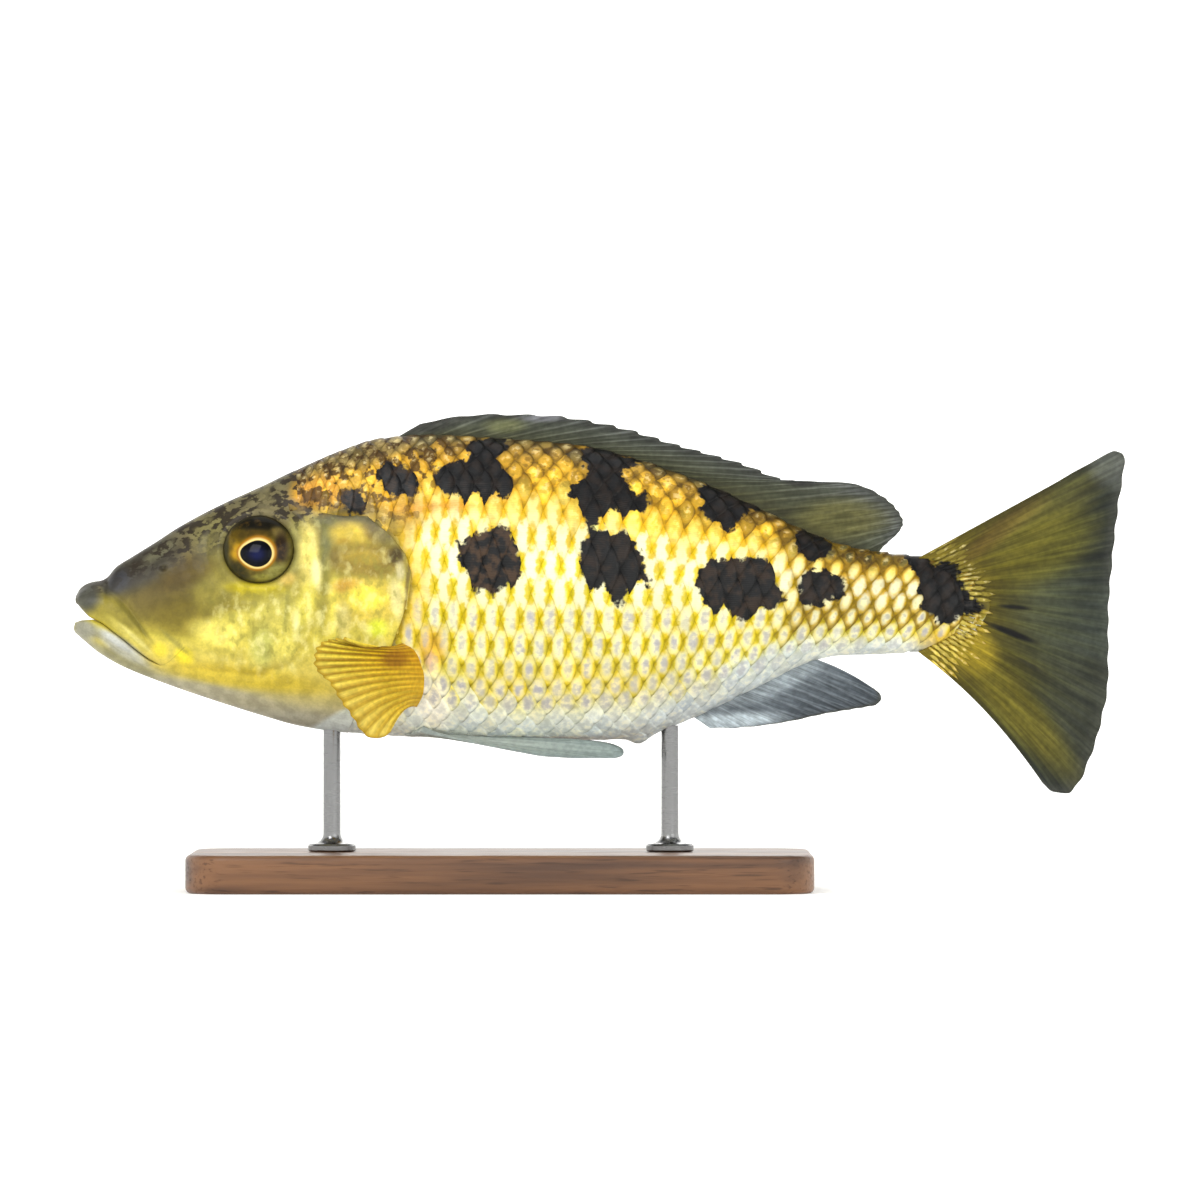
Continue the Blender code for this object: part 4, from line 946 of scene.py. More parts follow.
@dataclass(frozen=True)
class ScalePlate(Finish):
    """Ctenoid scales: pearly, with golden pigment in a ring or, on the flank, in spots between them."""

    name: str = "pearly_fish_scale"
    roughness: float = 0.36
    coat: float = 0.07
    coat_roughness: float = 0.18
    specular: float = 0.16
    dark: str = "#0e0e0f"
    dark_centre: str = "#202021"
    brown: str = "#55402e"
    speck: str = "#4a3212"
    lilac: str = "#b3afb0"
    glint: str = "#fbe9a8"
    spot: tuple[float, float] = (0.27, 0.50)  # half the golden spot, in scales along and across
    middle: float = 0.13  # along the scale, the middle of the part that shows
    ring_size: tuple[float, float] = (0.37, 0.74)  # half the ring, for a spread of 1

    def make(self) -> Material:
        """Makes the finish of the scales, drawn on each one's own coordinates.

        Returns:
            The material, which reads the scales' stored colours, masks and places.
        """
        made, add, place = self.start()
        run, across, chance = add(Node.APART, add(Node.VECTOR, attribute_name="plate")).node.outputs
        netted = add(Node.VALUE, attribute_name="netted")
        wobble = add(Node.NOISE, place, fineness(1.3), 3.0)
        uneven = add(Node.RANGE, wobble, 0.3, 0.7, -1.0, 1.0)
        square, ringed = self.ring(add, run, across, uneven, netted)
        apart = add(Node.RANGE, self.corner(add, run, across, uneven), 0.3, 1.5)
        edged = add(Node.TIMES, apart, add(Node.RANGE, ringed, 0.0, 1.0, 0.72, 1.0))
        tone = add(Node.BLEND, add(Node.BETWEEN, netted, edged, ringed),
                   add(Node.COLOUR, attribute_name="margin"), add(Node.COLOUR, attribute_name="centre"))
        inner = add(Node.RANGE, add(Node.PLUS, square, add(Node.TIMES, uneven, 0.4)), -0.3, 1.2, 1.0, 0.0)
        lilac = add(Node.TIMES, inner, add(Node.VALUE, attribute_name="lilac"))
        tone = add(Node.BLEND, lilac, tone, self.lilac)
        patches = add(Node.NOISE, place, fineness(2.4), 3.0)
        fleck = add(Node.TIMES, add(Node.RANGE, patches, 0.49, 0.57, 0.0, 0.9),
                    add(Node.VALUE, attribute_name="mottle"))
        tone = add(Node.BLEND, fleck, tone, self.speck)
        line = add(Node.TIMES, add(Node.RANGE, square, 1.5, 3.3, 0.0, 0.42),
                   add(Node.RANGE, netted, 0.1, 0.8, 0.65, 1.0))
        glint = add(Node.TIMES, add(Node.RANGE, wobble, 0.50, 0.64, 0.0, 0.6),
                    add(Node.TIMES, netted, ringed))
        tone = add(Node.BLEND, glint, tone, self.glint)
        light = add(Node.TIMES, uneven, add(Node.RANGE, netted, 0.1, 0.9, 0.10, 0.24))
        shade = add(Node.TIMES, add(Node.PLUS, light, 0.98), add(Node.MINUS, 1.0, line))
        tone = add(Node.BLEND, self.blotch(add, ringed, uneven), add(Node.SHADE, tone, shade),
                   self.black(add, ringed, patches))
        spokes = add(Node.WAVES, add(Node.TOGETHER, across, run, chance), 3.4, 0.6, 1.0)
        normal = add(Node.BUMP, spokes, 0.02 * MM, add(Node.BUMP, wobble, 0.03 * MM))
        rough = add(Node.RANGE, ringed, 0.0, 1.0, self.roughness + 0.08, self.roughness - 0.06)
        return self.end(made, Base_Color=tone, Roughness=rough, Normal=normal)

    def ring(self, add: Adder, run: Socket, across: Socket, uneven: Socket,
             netted: Socket) -> tuple[Socket, Socket]:
        """Parts each scale into its centre and its rim.

        Args:
            add: Adds a node.
            run: Places along the scale.
            across: Places across it.
            uneven: Makes the parting ragged.
            netted: How far the pigment rings the scale.

        Returns:
            The squared distance from the scale's middle, and how much each point is centre.
        """
        spread = add(Node.VALUE, attribute_name="spread")
        off = (add(Node.OVER, value, add(Node.TIMES, spread, size))
               for value, size in zip((add(Node.MINUS, run, self.middle), across), self.ring_size))
        square = add(Node.PLUS, *(add(Node.TIMES, value, value) for value in off))
        rag = add(Node.TIMES, uneven, add(Node.RANGE, netted, 0.0, 1.0, 0.4, 0.9))
        return square, add(Node.RANGE, add(Node.PLUS, square, rag), 0.0, 2.2, 1.0, 0.0)

    def corner(self, add: Adder, run: Socket, across: Socket, uneven: Socket) -> Socket:
        """Finds the golden spots, at the corners between four scales.

        Args:
            add: Adds a node.
            run: Places along the scale.
            across: Places across it.
            uneven: Makes the spots ragged.

        Returns:
            The squared distance from the nearest corner, where a spot's edge is 1.
        """
        fore = add(Node.SIZE, add(Node.MINUS, run, 0.05))
        up = add(Node.SIZE, across)
        found = []
        for ahead, above in ((0.5, 0.0), (0.0, 1.0)):
            off = (add(Node.OVER, add(Node.MINUS, value, at), size)
                   for value, at, size in zip((fore, up), (ahead, above), self.spot))
            found.append(add(Node.PLUS, *(add(Node.TIMES, value, value) for value in off)))
        return add(Node.PLUS, add(Node.LEAST, *found), add(Node.TIMES, uneven, 0.5))

    def blotch(self, add: Adder, ringed: Socket, uneven: Socket) -> Socket:
        """Works out where the black lies.

        Args:
            add: Adds a node.
            ringed: How much each point is centre.
            uneven: Makes the blotches' edges ragged.

        Returns:
            How black each point is, further out on the rims than on the centres.
        """
        depth = add(Node.BETWEEN, ringed, add(Node.VALUE, attribute_name="dark_rim"),
                    add(Node.VALUE, attribute_name="dark_middle"))
        return add(Node.RANGE, add(Node.PLUS, depth, add(Node.TIMES, uneven, 0.09)), 0.42, 0.58)

    def black(self, add: Adder, ringed: Socket, patches: Socket) -> Socket:
        """Works out the blotches' own colour.

        Args:
            add: Adds a node.
            ringed: How much each point is centre.
            patches: Where brown may show.

        Returns:
            Black with paler centres, and brown in places.
        """
        black = add(Node.BLEND, add(Node.TIMES, ringed, 0.8), self.dark, self.dark_centre)
        brown = add(Node.TIMES, add(Node.VALUE, attribute_name="brown"), add(Node.RANGE, patches, 0.44, 0.62))
        return add(Node.BLEND, brown, black, self.brown)


@dataclass(frozen=True)
class FinSkin(Finish):
    """Fin membrane stretched over bony rays: satin, with the rays' joints as fine cross bars."""

    name: str = "fin_membrane"
    roughness: float = 0.5
    coat: float = 0.05
    coat_roughness: float = 0.25
    specular: float = 0.15
    streak: float = 0.2  # how much the fine streaks along the rays lighten and darken it
    patch: float = 0.2  # and the broad ones
    joint: float = 7.54  # from joint to joint in millimetres, drawn longer than real so that it shows

    def make(self) -> Material:
        """Makes the finish of one fin or pair of fins.

        Returns:
            The material, which reads the fin's stored colours and places.
        """
        made, add, place = self.start()
        share, reach, length = add(Node.APART, add(Node.VECTOR, attribute_name="lie")).node.outputs
        ray = add(Node.VALUE, attribute_name="ray")
        # On a pleated fin the ray value follows the pleats, so this blend paints their light on the crests
        # and their shade in the folds.
        tone = add(Node.BLEND, ray, add(Node.COLOUR, attribute_name="ground"),
                   add(Node.COLOUR, attribute_name="ray_colour"))
        drawn = add(Node.TIMES, reach, 3.0)
        streaks, patches = (
            add(Node.NOISE, add(Node.TOGETHER, add(Node.TIMES, share, often), drawn), 1.0, detail)
            for often, detail in ((110.0, 3.0), (26.0, 2.0)))
        mottle = add(Node.NOISE, place, fineness(1.1), 3.0)
        for value, depth in ((streaks, self.streak), (patches, self.patch), (mottle, 0.12)):
            tone = add(Node.SHADE, tone, add(Node.RANGE, value, 0.32, 0.68, 1 - depth, 1 + depth))
        joints = add(Node.WAVES, add(Node.TOGETHER, length), fineness(self.joint) * WAVE_LENGTH)
        normal = add(Node.BUMP, add(Node.TIMES, joints, ray), 0.03 * MM, add(Node.BUMP, streaks, 0.05 * MM))
        return self.end(made, Base_Color=tone, Normal=normal)


@dataclass(frozen=True)
class EyeGloss(Finish):
    """The eye under its clear cornea: a mirror-bright ring, streaked iris and black pupil."""

    name: str = "wet_fish_eye"
    roughness: float = 0.4
    coat: float = 0.16
    coat_roughness: float = 0.04
    specular: float = 0.06
    pupil: str = "#010206"
    depths: str = "#050f3c"  # the blue that shows in the pupil's middle
    inner_ring: str = "#e8cc7c"
    outer_ring: str = "#a06c14"
    streak: str = "#1f190c"
    gilt: str = "#a97f26"
    rim: str = "#2a2512"

    def make(self) -> Material:
        """Makes the finish of both eyes, drawn by the rings of their mesh.

        Returns:
            The material, which reads the eye's stored colour, rings and spokes.
        """
        made, add, place = self.start()
        ring = add(Node.VALUE, attribute_name="ring")
        spoke = add(Node.VECTOR, attribute_name="spoke")
        streaks = add(Node.RANGE, add(Node.NOISE, spoke, 5.0, 3.0), 0.40, 0.64, 0.0, 0.3)
        iris = add(Node.BLEND, streaks, add(Node.COLOUR, attribute_name="ground"), self.streak)
        gilt = add(Node.RANGE, add(Node.NOISE, place, fineness(1.4), 3.0), 0.52, 0.72, 0.0, 0.08)
        iris = add(Node.BLEND, gilt, iris, self.gilt)
        gold = add(Node.BLEND, add(Node.RANGE, ring, 1.15, 1.7), self.inner_ring, self.outer_ring)
        tone = add(Node.BLEND, add(Node.RANGE, ring, 1.6, 2.15), gold, iris)
        tone = add(Node.BLEND, add(Node.RANGE, ring, 2.8, 3.5, 0.0, 0.7), tone, self.rim)
        tone = add(Node.BLEND, add(Node.RANGE, ring, 0.98, 1.10, 1.0, 0.0), tone, self.pupil)
        out = add(Node.APART, spoke).node.outputs[2]
        glow = add(Node.TIMES, add(Node.RANGE, ring, 0.2, 1.0, 1.0, 0.0),
                   add(Node.RANGE, out, 0.0, 0.5, 1.0, 0.0))
        return self.end(made, Base_Color=add(Node.BLEND, glow, tone, self.depths))


@dataclass(frozen=True)
class OiledWalnut(Finish):
    """Walnut board, planed and oiled: brown with darker streaks along the grain."""

    name: str = "oiled_walnut"
    roughness: float = 0.42
    coat: float = 0.15
    coat_roughness: float = 0.3
    late_wood: str = "#4a2f1d"
    early_wood: str = "#7a5232"
    pore: str = "#2c1a10"

    def make(self) -> Material:
        """Makes the finish of the base.

        Returns:
            The material, with its grain along X.
        """
        made, add, place = self.start()
        rings = add(Node.NOISE, add(Node.STRETCH, place, (0.07, 1.0, 1.6)), fineness(7.0), 4.0)
        pores = add(Node.NOISE, add(Node.STRETCH, place, (0.06, 1.0, 1.0)), fineness(0.6), 2.0)
        tone = add(Node.BLEND, add(Node.RANGE, rings, 0.35, 0.66), self.late_wood, self.early_wood)
        tone = add(Node.BLEND, add(Node.RANGE, pores, 0.55, 0.72, 0.0, 0.55), tone, self.pore)
        rough = add(Node.RANGE, pores, 0.4, 0.7, self.roughness - 0.05, self.roughness + 0.15)
        return self.end(made, Base_Color=tone, Roughness=rough, Normal=add(Node.BUMP, pores, 0.05 * MM))


@dataclass(frozen=True)
class TurnedSteel(Finish):
    """Stainless rod, turned and brushed: grey metal with fine rings from the lathe."""

    name: str = "brushed_stainless_steel"
    roughness: float = 0.24
    metallic: float = 1.0
    ior: float = 1.5  # the shader's default, as for any metal
    tones: tuple[str, str] = ("#7c7c7d", "#858585")

    def make(self) -> Material:
        """Makes the finish of the rods.

        Returns:
            The material, with its rings round Z.
        """
        made, add, place = self.start()
        lathe = add(Node.NOISE, add(Node.STRETCH, place, (0.1, 0.1, 1.0)), fineness(0.6), 2.0)
        tone = add(Node.BLEND, lathe, *self.tones)
        rough = add(Node.RANGE, lathe, 0.3, 0.7, self.roughness - 0.03, self.roughness + 0.05)
        return self.end(made, Base_Color=tone, Roughness=rough, Normal=add(Node.BUMP, lathe, 0.001 * MM))


@dataclass
class Skin:
    """One skin over head, jaws, gill covers, trunk and tail stalk, with a true mouth slit."""

    form: BodyForm
    head: HeadForm
    marks: Markings
    upper: int = 100  # columns from the back to the upper lip's edge
    columns: int = 150  # columns from the back to the belly
    edge_station: float = -44.0
    cover_rise: float = 0.9
    tuck: float = 1.2
    coat_depth: float = 0.45
    mouth_depth: float = 3.2
    throat: float = -104.0  # where the cavity of the mouth ends
    lining: int = 12
    unwrap: tuple[float, float, float] = (122.0, 205.0, 160.0)  # shift, length and girth
    mouth_shade_rings: tuple[int, int, int] = (-6, 14, 70)  # ends of the painted shade in the mouth: the dark lining, the dark slit and the dimmer slit
    nodes: tuple[str, ...] = (
        "head", "lower_jaw", "gill_cover_left", "gill_cover_right", "trunk", "tail_stalk")

    def stations(self) -> tuple[Array, Array, Array]:
        """Places the rings, close together at the mouth and the gill cover's edge.

        Returns:
            Where each lies, how far it is moved, and how proud the gill cover stands there.
        """
        edge, front = self.edge_station, self.form.back[0][0]
        snout = np.concatenate([np.arange(front, -105.0, 0.25), np.arange(-105.0, -88.0, 0.35)])
        before = np.concatenate([snout, np.arange(-88.0, edge - 0.7, 0.45)])
        rise = self.cover_rise * smooth_step((before - (edge - 14)) / 14) ** 1.4
        lip_places = edge + np.array([-0.35, -0.1, 0.0, 0.0, 0.0, 0.15, 0.8, 1.8])
        lip_shift = np.array([0.0, 0.0, 0.0, -0.25, -self.tuck, -self.tuck, -0.3, 0.0])
        lip_rise = np.array([1.0, 0.93, 0.7, 0.38, 0.25, -0.3, -0.3, -0.05]) * self.cover_rise
        behind = np.concatenate([np.arange(edge + 2.6, 60.0, 1.5), np.linspace(60.0, 81.0, 20)])
        places = np.concatenate([before, lip_places, behind])
        shift = np.concatenate([0 * before, lip_shift, 0 * behind])
        return places, shift, np.concatenate([rise, lip_rise, 0 * behind])

    def regular_angles(self) -> Array:
        """Parts the head's section into equal steps of its outline.

        Returns:
            Each column's angle from the back.
        """
        fine = np.linspace(0, math.pi, 721)
        outline = self.form.point(-60.0, fine)
        arc = np.r_[0, np.cumsum(np.linalg.norm(np.diff(outline, axis=0), axis=1))]
        return np.interp(np.linspace(0, arc[-1], self.columns), arc, fine)

    def angles(self, places: Array) -> Array:
        """Draws the columns together at the mouth.

        Args:
            places: Where the rings lie.

        Returns:
            Each ring's row of angles from the back.
        """
        regular = self.regular_angles()
        share = smooth_step(places, -84.0, -7.7)
        upper, lower = self.head.mouth_edges(places)
        top = regular[self.upper] * (1 - share) + self.form.angle_of(places, upper) * share
        low = regular[self.upper + 2] * (1 - share) + self.form.angle_of(places, lower) * share
        rows = np.arange(self.columns)
        above = regular[None, :] * (top / regular[self.upper])[:, None]
        below = math.pi - (math.pi - regular[None, :]) * ((math.pi - low)
                                                          / (math.pi - regular[self.upper + 2]))[:, None]
        found = np.where(rows <= self.upper, above, below)
        found[:, self.upper + 1] = (top + low) / 2
        return found

    def half_grid(self) -> Array:
        """Lays the left half of the skin.

        Returns:
            Its points, ring by ring from the snout, from back to belly.
        """
        places, shift, rise = self.stations()
        angles = self.angles(places)
        start = places[:, None] + 0 * angles
        height = self.form.point(start, angles)[..., 2]
        ahead = smooth_step((start + 80) / (self.edge_station + 80))
        pull = np.where(start < self.edge_station, ahead, smooth_step(start, -14, -30))
        limit = smooth_step(height, 79.5, -6) * smooth_step(height, 33, 6)
        x = start + pull * (self.head.edge_x(height) - self.edge_station) + shift[:, None] * limit
        scaled = smooth_step((x - self.marks.coat_edge(height) - 0.2) / 1.2) * (start > self.edge_station)
        nape = smooth_step((x - self.marks.coat_edge(height)) / 3.0) * (height > 79)
        grow = -self.coat_depth * np.maximum(scaled, nape)

        def relief(px: Array, pz: Array) -> Array:
            """The head's relief with the raised rear edge of the gill cover."""
            fade = smooth_step((self.edge_station + 4 - start) / 6)
            return self.head.relief(px, pz) * fade + rise[:, None] * limit

        grid = self.form.point(x, angles, grow, relief)
        self.cut_mouth(grid, places)
        return grid

    def cut_mouth(self, grid: Array, places: Array) -> None:
        """Rolls the lips' edges in and draws the column between them deep into the head.

        Args:
            grid: The half skin's points, which it moves.
            places: Where the rings lie.
        """
        column = self.upper
        ahead = places < self.head.mouth[-1][0] + 2.5
        share = smooth_step(places, -91.0, -3.0)[ahead]
        soft = 0.4 + 0.6 * smooth_step((-103.0 - places[ahead]) / 3.0)
        for offset, roll in ((0, 0.5), (2, 0.5), (-1, 0.16), (3, 0.16), (-2, 0.04), (4, 0.04)):
            grid[ahead, column + offset, 1] += roll * share * soft
        deep = grid[ahead, column + 1]
        y_at = np.minimum(deep[:, 1] + self.mouth_depth * share, -0.5)
        deep[:, 1] = y_at
        front = places[ahead] < self.throat
        deep[front, 0] = self.throat
        deep[front, 1] = np.interp(places[ahead][front], [places[0], self.throat], [-1.2, y_at[~front][0]])
        deep[front, 2] = deep[~front][0, 2]
        grid[ahead, column + 1] = deep

    def mouth_lining(self, ring: Array) -> list[Array]:
        """Closes the lips' fronts and lines the mouth.

        Args:
            ring: The half skin's first ring.

        Returns:
            Rings from inside the mouth to that ring.
        """
        top, low = ring[self.upper], ring[self.upper + 2]
        index = np.arange(self.columns)[:, None]
        upper = index <= self.upper
        roof = np.clip((ring[:, 2:] - top[2]) / (ring[0, 2] - top[2]), 0, 1)
        floor = np.clip((low[2] - ring[:, 2:]) / (low[2] - ring[-1, 2]), 0, 1)
        lobe = np.where(upper, roof, floor)
        edge = np.where(upper, top[2] + 0.1 * roof, low[2] - 0.1 * floor)
        forward = np.where(upper, 0.8, 1.6) * (0.4 + 0.6 * lobe)
        bulge = np.concatenate([ring[:, :1] - forward, 0.97 * ring[:, 1:2],
                                (ring[:, 2:] + edge) / 2], 1)
        inner = np.concatenate([0 * ring[:, :1] - 108.8, 0.72 * ring[:, 1:2], edge], 1)
        throat = np.concatenate([0 * ring[:, :1] - 104.4, 0.25 * ring[:, 1:2],
                                 np.where(upper, 56.5 + 0.5 * roof, 55.5 - 0.3 * floor)], 1)
        rings = []
        for t in np.linspace(1, 0, self.lining + 1)[:-1]:
            if t > 0.6:
                made = inner + (throat - inner) * (t - 0.6) / 0.4
            else:
                s = t / 0.6
                made = (1 - s) ** 2 * ring + 2 * s * (1 - s) * bulge + s * s * inner
            back = ring[self.upper + 1]
            made[self.upper + 1] = back + (np.array([-104.2, 0.3 * back[1], 56.0]) - back) * t
            rings.append(made)
        return rings

    def build(self) -> Piece:
        """Makes the skin, with its colours and its unwrap.

        Returns:
            The skin.
        """
        half = self.half_grid()
        rings = np.array([*self.mouth_lining(half[0]), *half])
        mirror = rings[:, -2:0:-1] * np.array([1, -1, 1])
        loop = np.concatenate([rings, mirror], 1)
        count, around = loop.shape[:2]
        points = np.concatenate([loop.reshape(-1, 3), [(self.throat, 0, 56.0), (82.0, 0, 59.6)]])
        index = np.arange(count * around).reshape(count, around)
        after = np.roll(index, -1, axis=1)
        quads = np.stack([index[:-1], after[:-1], after[1:], index[1:]], -1).reshape(-1, 4)
        first, last = count * around, count * around + 1
        faces = quads.tolist()
        faces += [(first, int(b), int(a)) for a, b in zip(index[0], after[0])]
        faces += [(int(a), int(b), last) for a, b in zip(index[-1], after[-1])]
        skin = new_piece("skin", points, faces)
        x, z = points[:, 0], points[:, 2]
        colours = self.marks.skin(x, z)
        # Painted shade in the mouth: its lining and the front of the slit are painted dark brown, and the
        # slit behind that is darkened a little.
        lining, dark, dim = (self.lining + ring for ring in self.mouth_shade_rings)
        slit = index[:, [self.upper + 1, around - self.upper - 1]]
        inside = np.zeros(len(points), bool)
        inside[:lining * around] = True
        inside[first] = True
        inside[slit[lining:dark]] = True
        colours = np.where(inside[:, None], srgb("#57463c"), colours)
        colours[slit[dark:dim]] *= 0.8
        # Painted shade: the skin is darkened in a ring where it dips into the socket under the eyeball's
        # edge.
        rim = bump(self.head.eye_radius(x, z) - 6.9, 0.45)[:, None]
        set_colour(skin, "ground", colours * (1 - 0.4 * rim) + srgb("#332e18") * 0.4 * rim)
        depth = self.marks.depth(x, z)
        set_value(skin, "dark", smooth_step(0.5 + depth / 1.4))
        set_value(skin, "brown", self.marks.brown(x, z))
        set_value(skin, "mottle", self.marks.mottle(x, z))
        set_value(skin, "pearl", self.marks.pearl(x, z))
        cover = smooth_step(x, -92, 8) * smooth_step((self.head.eye_radius(x, z) - 9) / 3)
        share = self.form.height_share(x, z)
        set_value(skin, "scaly", cover * smooth_step(share, 0.1, 0.1) * smooth_step(share, 0.8, -0.1)
                  * (x < self.marks.coat_edge(z)))
        self.unwrap_skin(skin, rings)
        return skin

    def unwrap_skin(self, skin: Piece, rings: Array) -> None:
        """Lays the skin flat: length by place along the body, girth by arc from the back.

        Args:
            skin: The skin.
            rings: The left halves of its rings.
        """
        count, around = len(rings), 2 * rings.shape[1] - 2
        shift, length, girth = self.unwrap
        run = np.concatenate([np.linspace(-120.5, -109.6, self.lining), self.stations()[0]])
        arc = np.concatenate([np.zeros((count, 1)), np.cumsum(np.linalg.norm(
            np.diff(rings[..., 1:], axis=1), axis=2), axis=1)], 1)
        turned = np.concatenate([arc, 2 * arc[:, -1:] - arc[:, -2:0:-1], 2 * arc[:, -1:]], 1)
        down = turned / girth + 0.5 - arc[:, -1:] / girth
        u = np.repeat(((run + shift) / length)[:, None], around + 1, axis=1)
        flat = np.stack([u, down], -1)
        corners = np.stack([flat[:-1, :-1], flat[:-1, 1:], flat[1:, 1:], flat[1:, :-1]], 2).reshape(-1, 2)
        nose = np.stack([np.repeat([[0.002, 0.5]], around, axis=0), flat[0, 1:], flat[0, :-1]], 1)
        tail = np.stack([flat[-1, :-1], flat[-1, 1:], np.repeat([[0.995, 0.5]], around, axis=0)], 1)
        set_bake_map(skin, np.concatenate([corners, nose.reshape(-1, 2), tail.reshape(-1, 2)]).clip(0, 1))


@dataclass
class ScaleCoat:
    """Overlapping scales in slanting rows, each a thin closed plate that follows the flank."""

    form: BodyForm
    marks: Markings
    unwrap: tuple[float, float, float]
    midline: Line = (
        (-70, 64.6), (-39, 63.7), (-23, 62.7), (6, 61.6), (27, 61), (42, 60.6),
        (63, 60), (82, 59.5))
    row_pitch: Line = (
        (-70, 3.4), (-48, 5), (-23, 5.9), (6, 5.2), (27, 4.4), (42, 3.7), (63, 3.1),
        (82, 2.9))
    column_pitch: Line = (
        (-70, 1.9), (-60, 2.2), (-52, 2.8), (-42, 3.4), (-25, 4), (0, 4.1), (30, 3.9),
        (60, 3.7), (82, 3.5))
    tilt: Line = ((-70, 0), (0, 0.04), (30, 0.16), (60, 0.30), (82, 0.34))
    back_pitch: float = 2.9
    belly_pitch: float = 2.9
    steps: int = 6
    last: float = 78.8
    slope: float = 0.28
    lateral_rows: tuple[tuple[int, float, float], ...] = ((-4, -60.0, 40.0), (0, 22.0, 82.0))
    thickness: float = 0.16
    place_step: float = 0.5
    row_step: float = 0.1

    def __post_init__(self) -> None:
        """Sets out the places and rows that the tables hold."""
        self._places = np.arange(-72.0, 84.01, self.place_step)
        self._rows = np.arange(-16.0, 24.0, self.row_step)

    def row_tables(self) -> tuple[Array, Array, Array, Array]:
        """Sets out the rows of scales from the midline, by their pitches.

        Returns:
            Each row's angle and arc at each place, and the first and last row there.
        """
        fine = np.linspace(0, math.pi, 541)
        outline = self.form.point(self._places[:, None], fine[None, :])
        step = np.linalg.norm(np.diff(outline[..., 1:], axis=1), axis=2)
        arc = np.concatenate([np.zeros((len(self._places), 1)), np.cumsum(step, axis=1)], 1)
        angle = self.form.angle_of(self._places, smooth_line(self.midline, self._places))
        middle = np.array([np.interp(a, fine, row) for a, row in zip(angle, arc)])[:, None]
        away = arc - middle
        pitch = smooth_line(self.row_pitch, self._places)[:, None]
        up = smooth_step((-away / middle - 0.46) / 0.26)
        down = smooth_step((away / (arc[:, -1:] - middle) - 0.20) / 0.5)
        pitch = pitch + (np.minimum(self.back_pitch, pitch) - pitch) * up
        pitch = pitch + (np.minimum(self.belly_pitch, pitch) - pitch) * down
        density = (1 / pitch[:, 1:] + 1 / pitch[:, :-1]) / 2
        rows = np.concatenate([np.zeros_like(middle), np.cumsum(step * density, axis=1)], 1)
        rows = rows - np.array([np.interp(a, fine, row) for a, row in zip(angle, rows)])[:, None]
        angles = np.array([np.interp(self._rows, row, fine) for row in rows])
        arcs = np.array([np.interp(self._rows, row, line) for row, line in zip(rows, arc)])
        return angles, arcs, rows[:, 0], rows[:, -1]

    def look_up(self, table: Array, x: Array, row: Array) -> Array:
        """Reads a table of the rows between its places.

        Args:
            table: Values by place and row.
            x: Places along the body.
            row: Rows above (negative) or below the midline.

        Returns:
            The values.
        """
        px = np.clip((x - self._places[0]) / self.place_step, 0, len(self._places) - 1.001)
        pr = np.clip((row - self._rows[0]) / self.row_step, 0, len(self._rows) - 1.001)
        i, j = px.astype(int), pr.astype(int)
        s, t = px - i, pr - j
        return ((table[i, j] * (1 - s) + table[i + 1, j] * s) * (1 - t)
                + (table[i, j + 1] * (1 - s) + table[i + 1, j + 1] * s) * t)

    def centres(self, angles: Array, arcs: Array, first: Array, last: Array) -> Array:
        """Sets out the scales in a lattice of staggered rows.

        Args:
            angles: Each row's angle at each place.
            arcs: Its arc there.
            first: The first row there.
            last: The last one.

        Returns:
            Each scale's place along the body and its row.
        """
        pitch = smooth_line(self.column_pitch, self._places)
        count = np.r_[0, np.cumsum(self.place_step / ((pitch[1:] + pitch[:-1]) / 2))]
        middle = self.look_up(arcs, self._places, 0 * self._places)
        found = []
        for row in range(math.floor(first.min()), math.ceil(last.max()) + 1):
            wanted = np.arange(math.ceil(count[-1])) + 0.5 * (row % 2)
            x = np.interp(wanted[wanted < count[-1]], count, self._places)
            lean = smooth_line(self.tilt, x)
            x = x + lean * (np.interp(x, self._places, middle) - self.look_up(arcs, x, row + 0 * x))
            z = self.form.point(x, self.look_up(angles, x, row + 0 * x))[..., 2]
            there = (x > self.marks.coat_edge(z) + 0.3) & (x < self.last)
            there &= row > np.interp(x, self._places, first) + 0.3
            there &= row < np.interp(x, self._places, last) - 0.3
            found += [(px, row) for px in x[there]]
        return np.array(found)

    def plate(self) -> tuple[Array, Array, Faces]:
        """Shapes one scale, pointed behind and rounded at its root.

        Returns:
            The points' places along and across it, how deep each is sunk, and the faces, the
            underside last.
        """
        across = np.linspace(-1, 1, self.steps + 1)[None, :]
        run = np.linspace(0, 1, self.steps + 1)[:, None] ** 0.8
        rear = 0.57 - 0.53 * np.abs(across) ** 1.6
        front = -0.92 + 0.22 * across ** 2
        face = np.stack(np.broadcast_arrays(front + (rear - front) * run, across * 1.05), -1).reshape(-1, 2)
        rim, faces = plate_faces(self.steps)
        local = np.concatenate([face, face[rim]])
        faces.append(tuple(range(len(face), len(local))))
        return local, np.r_[np.zeros(len(face)), np.full(len(rim), self.thickness)], faces

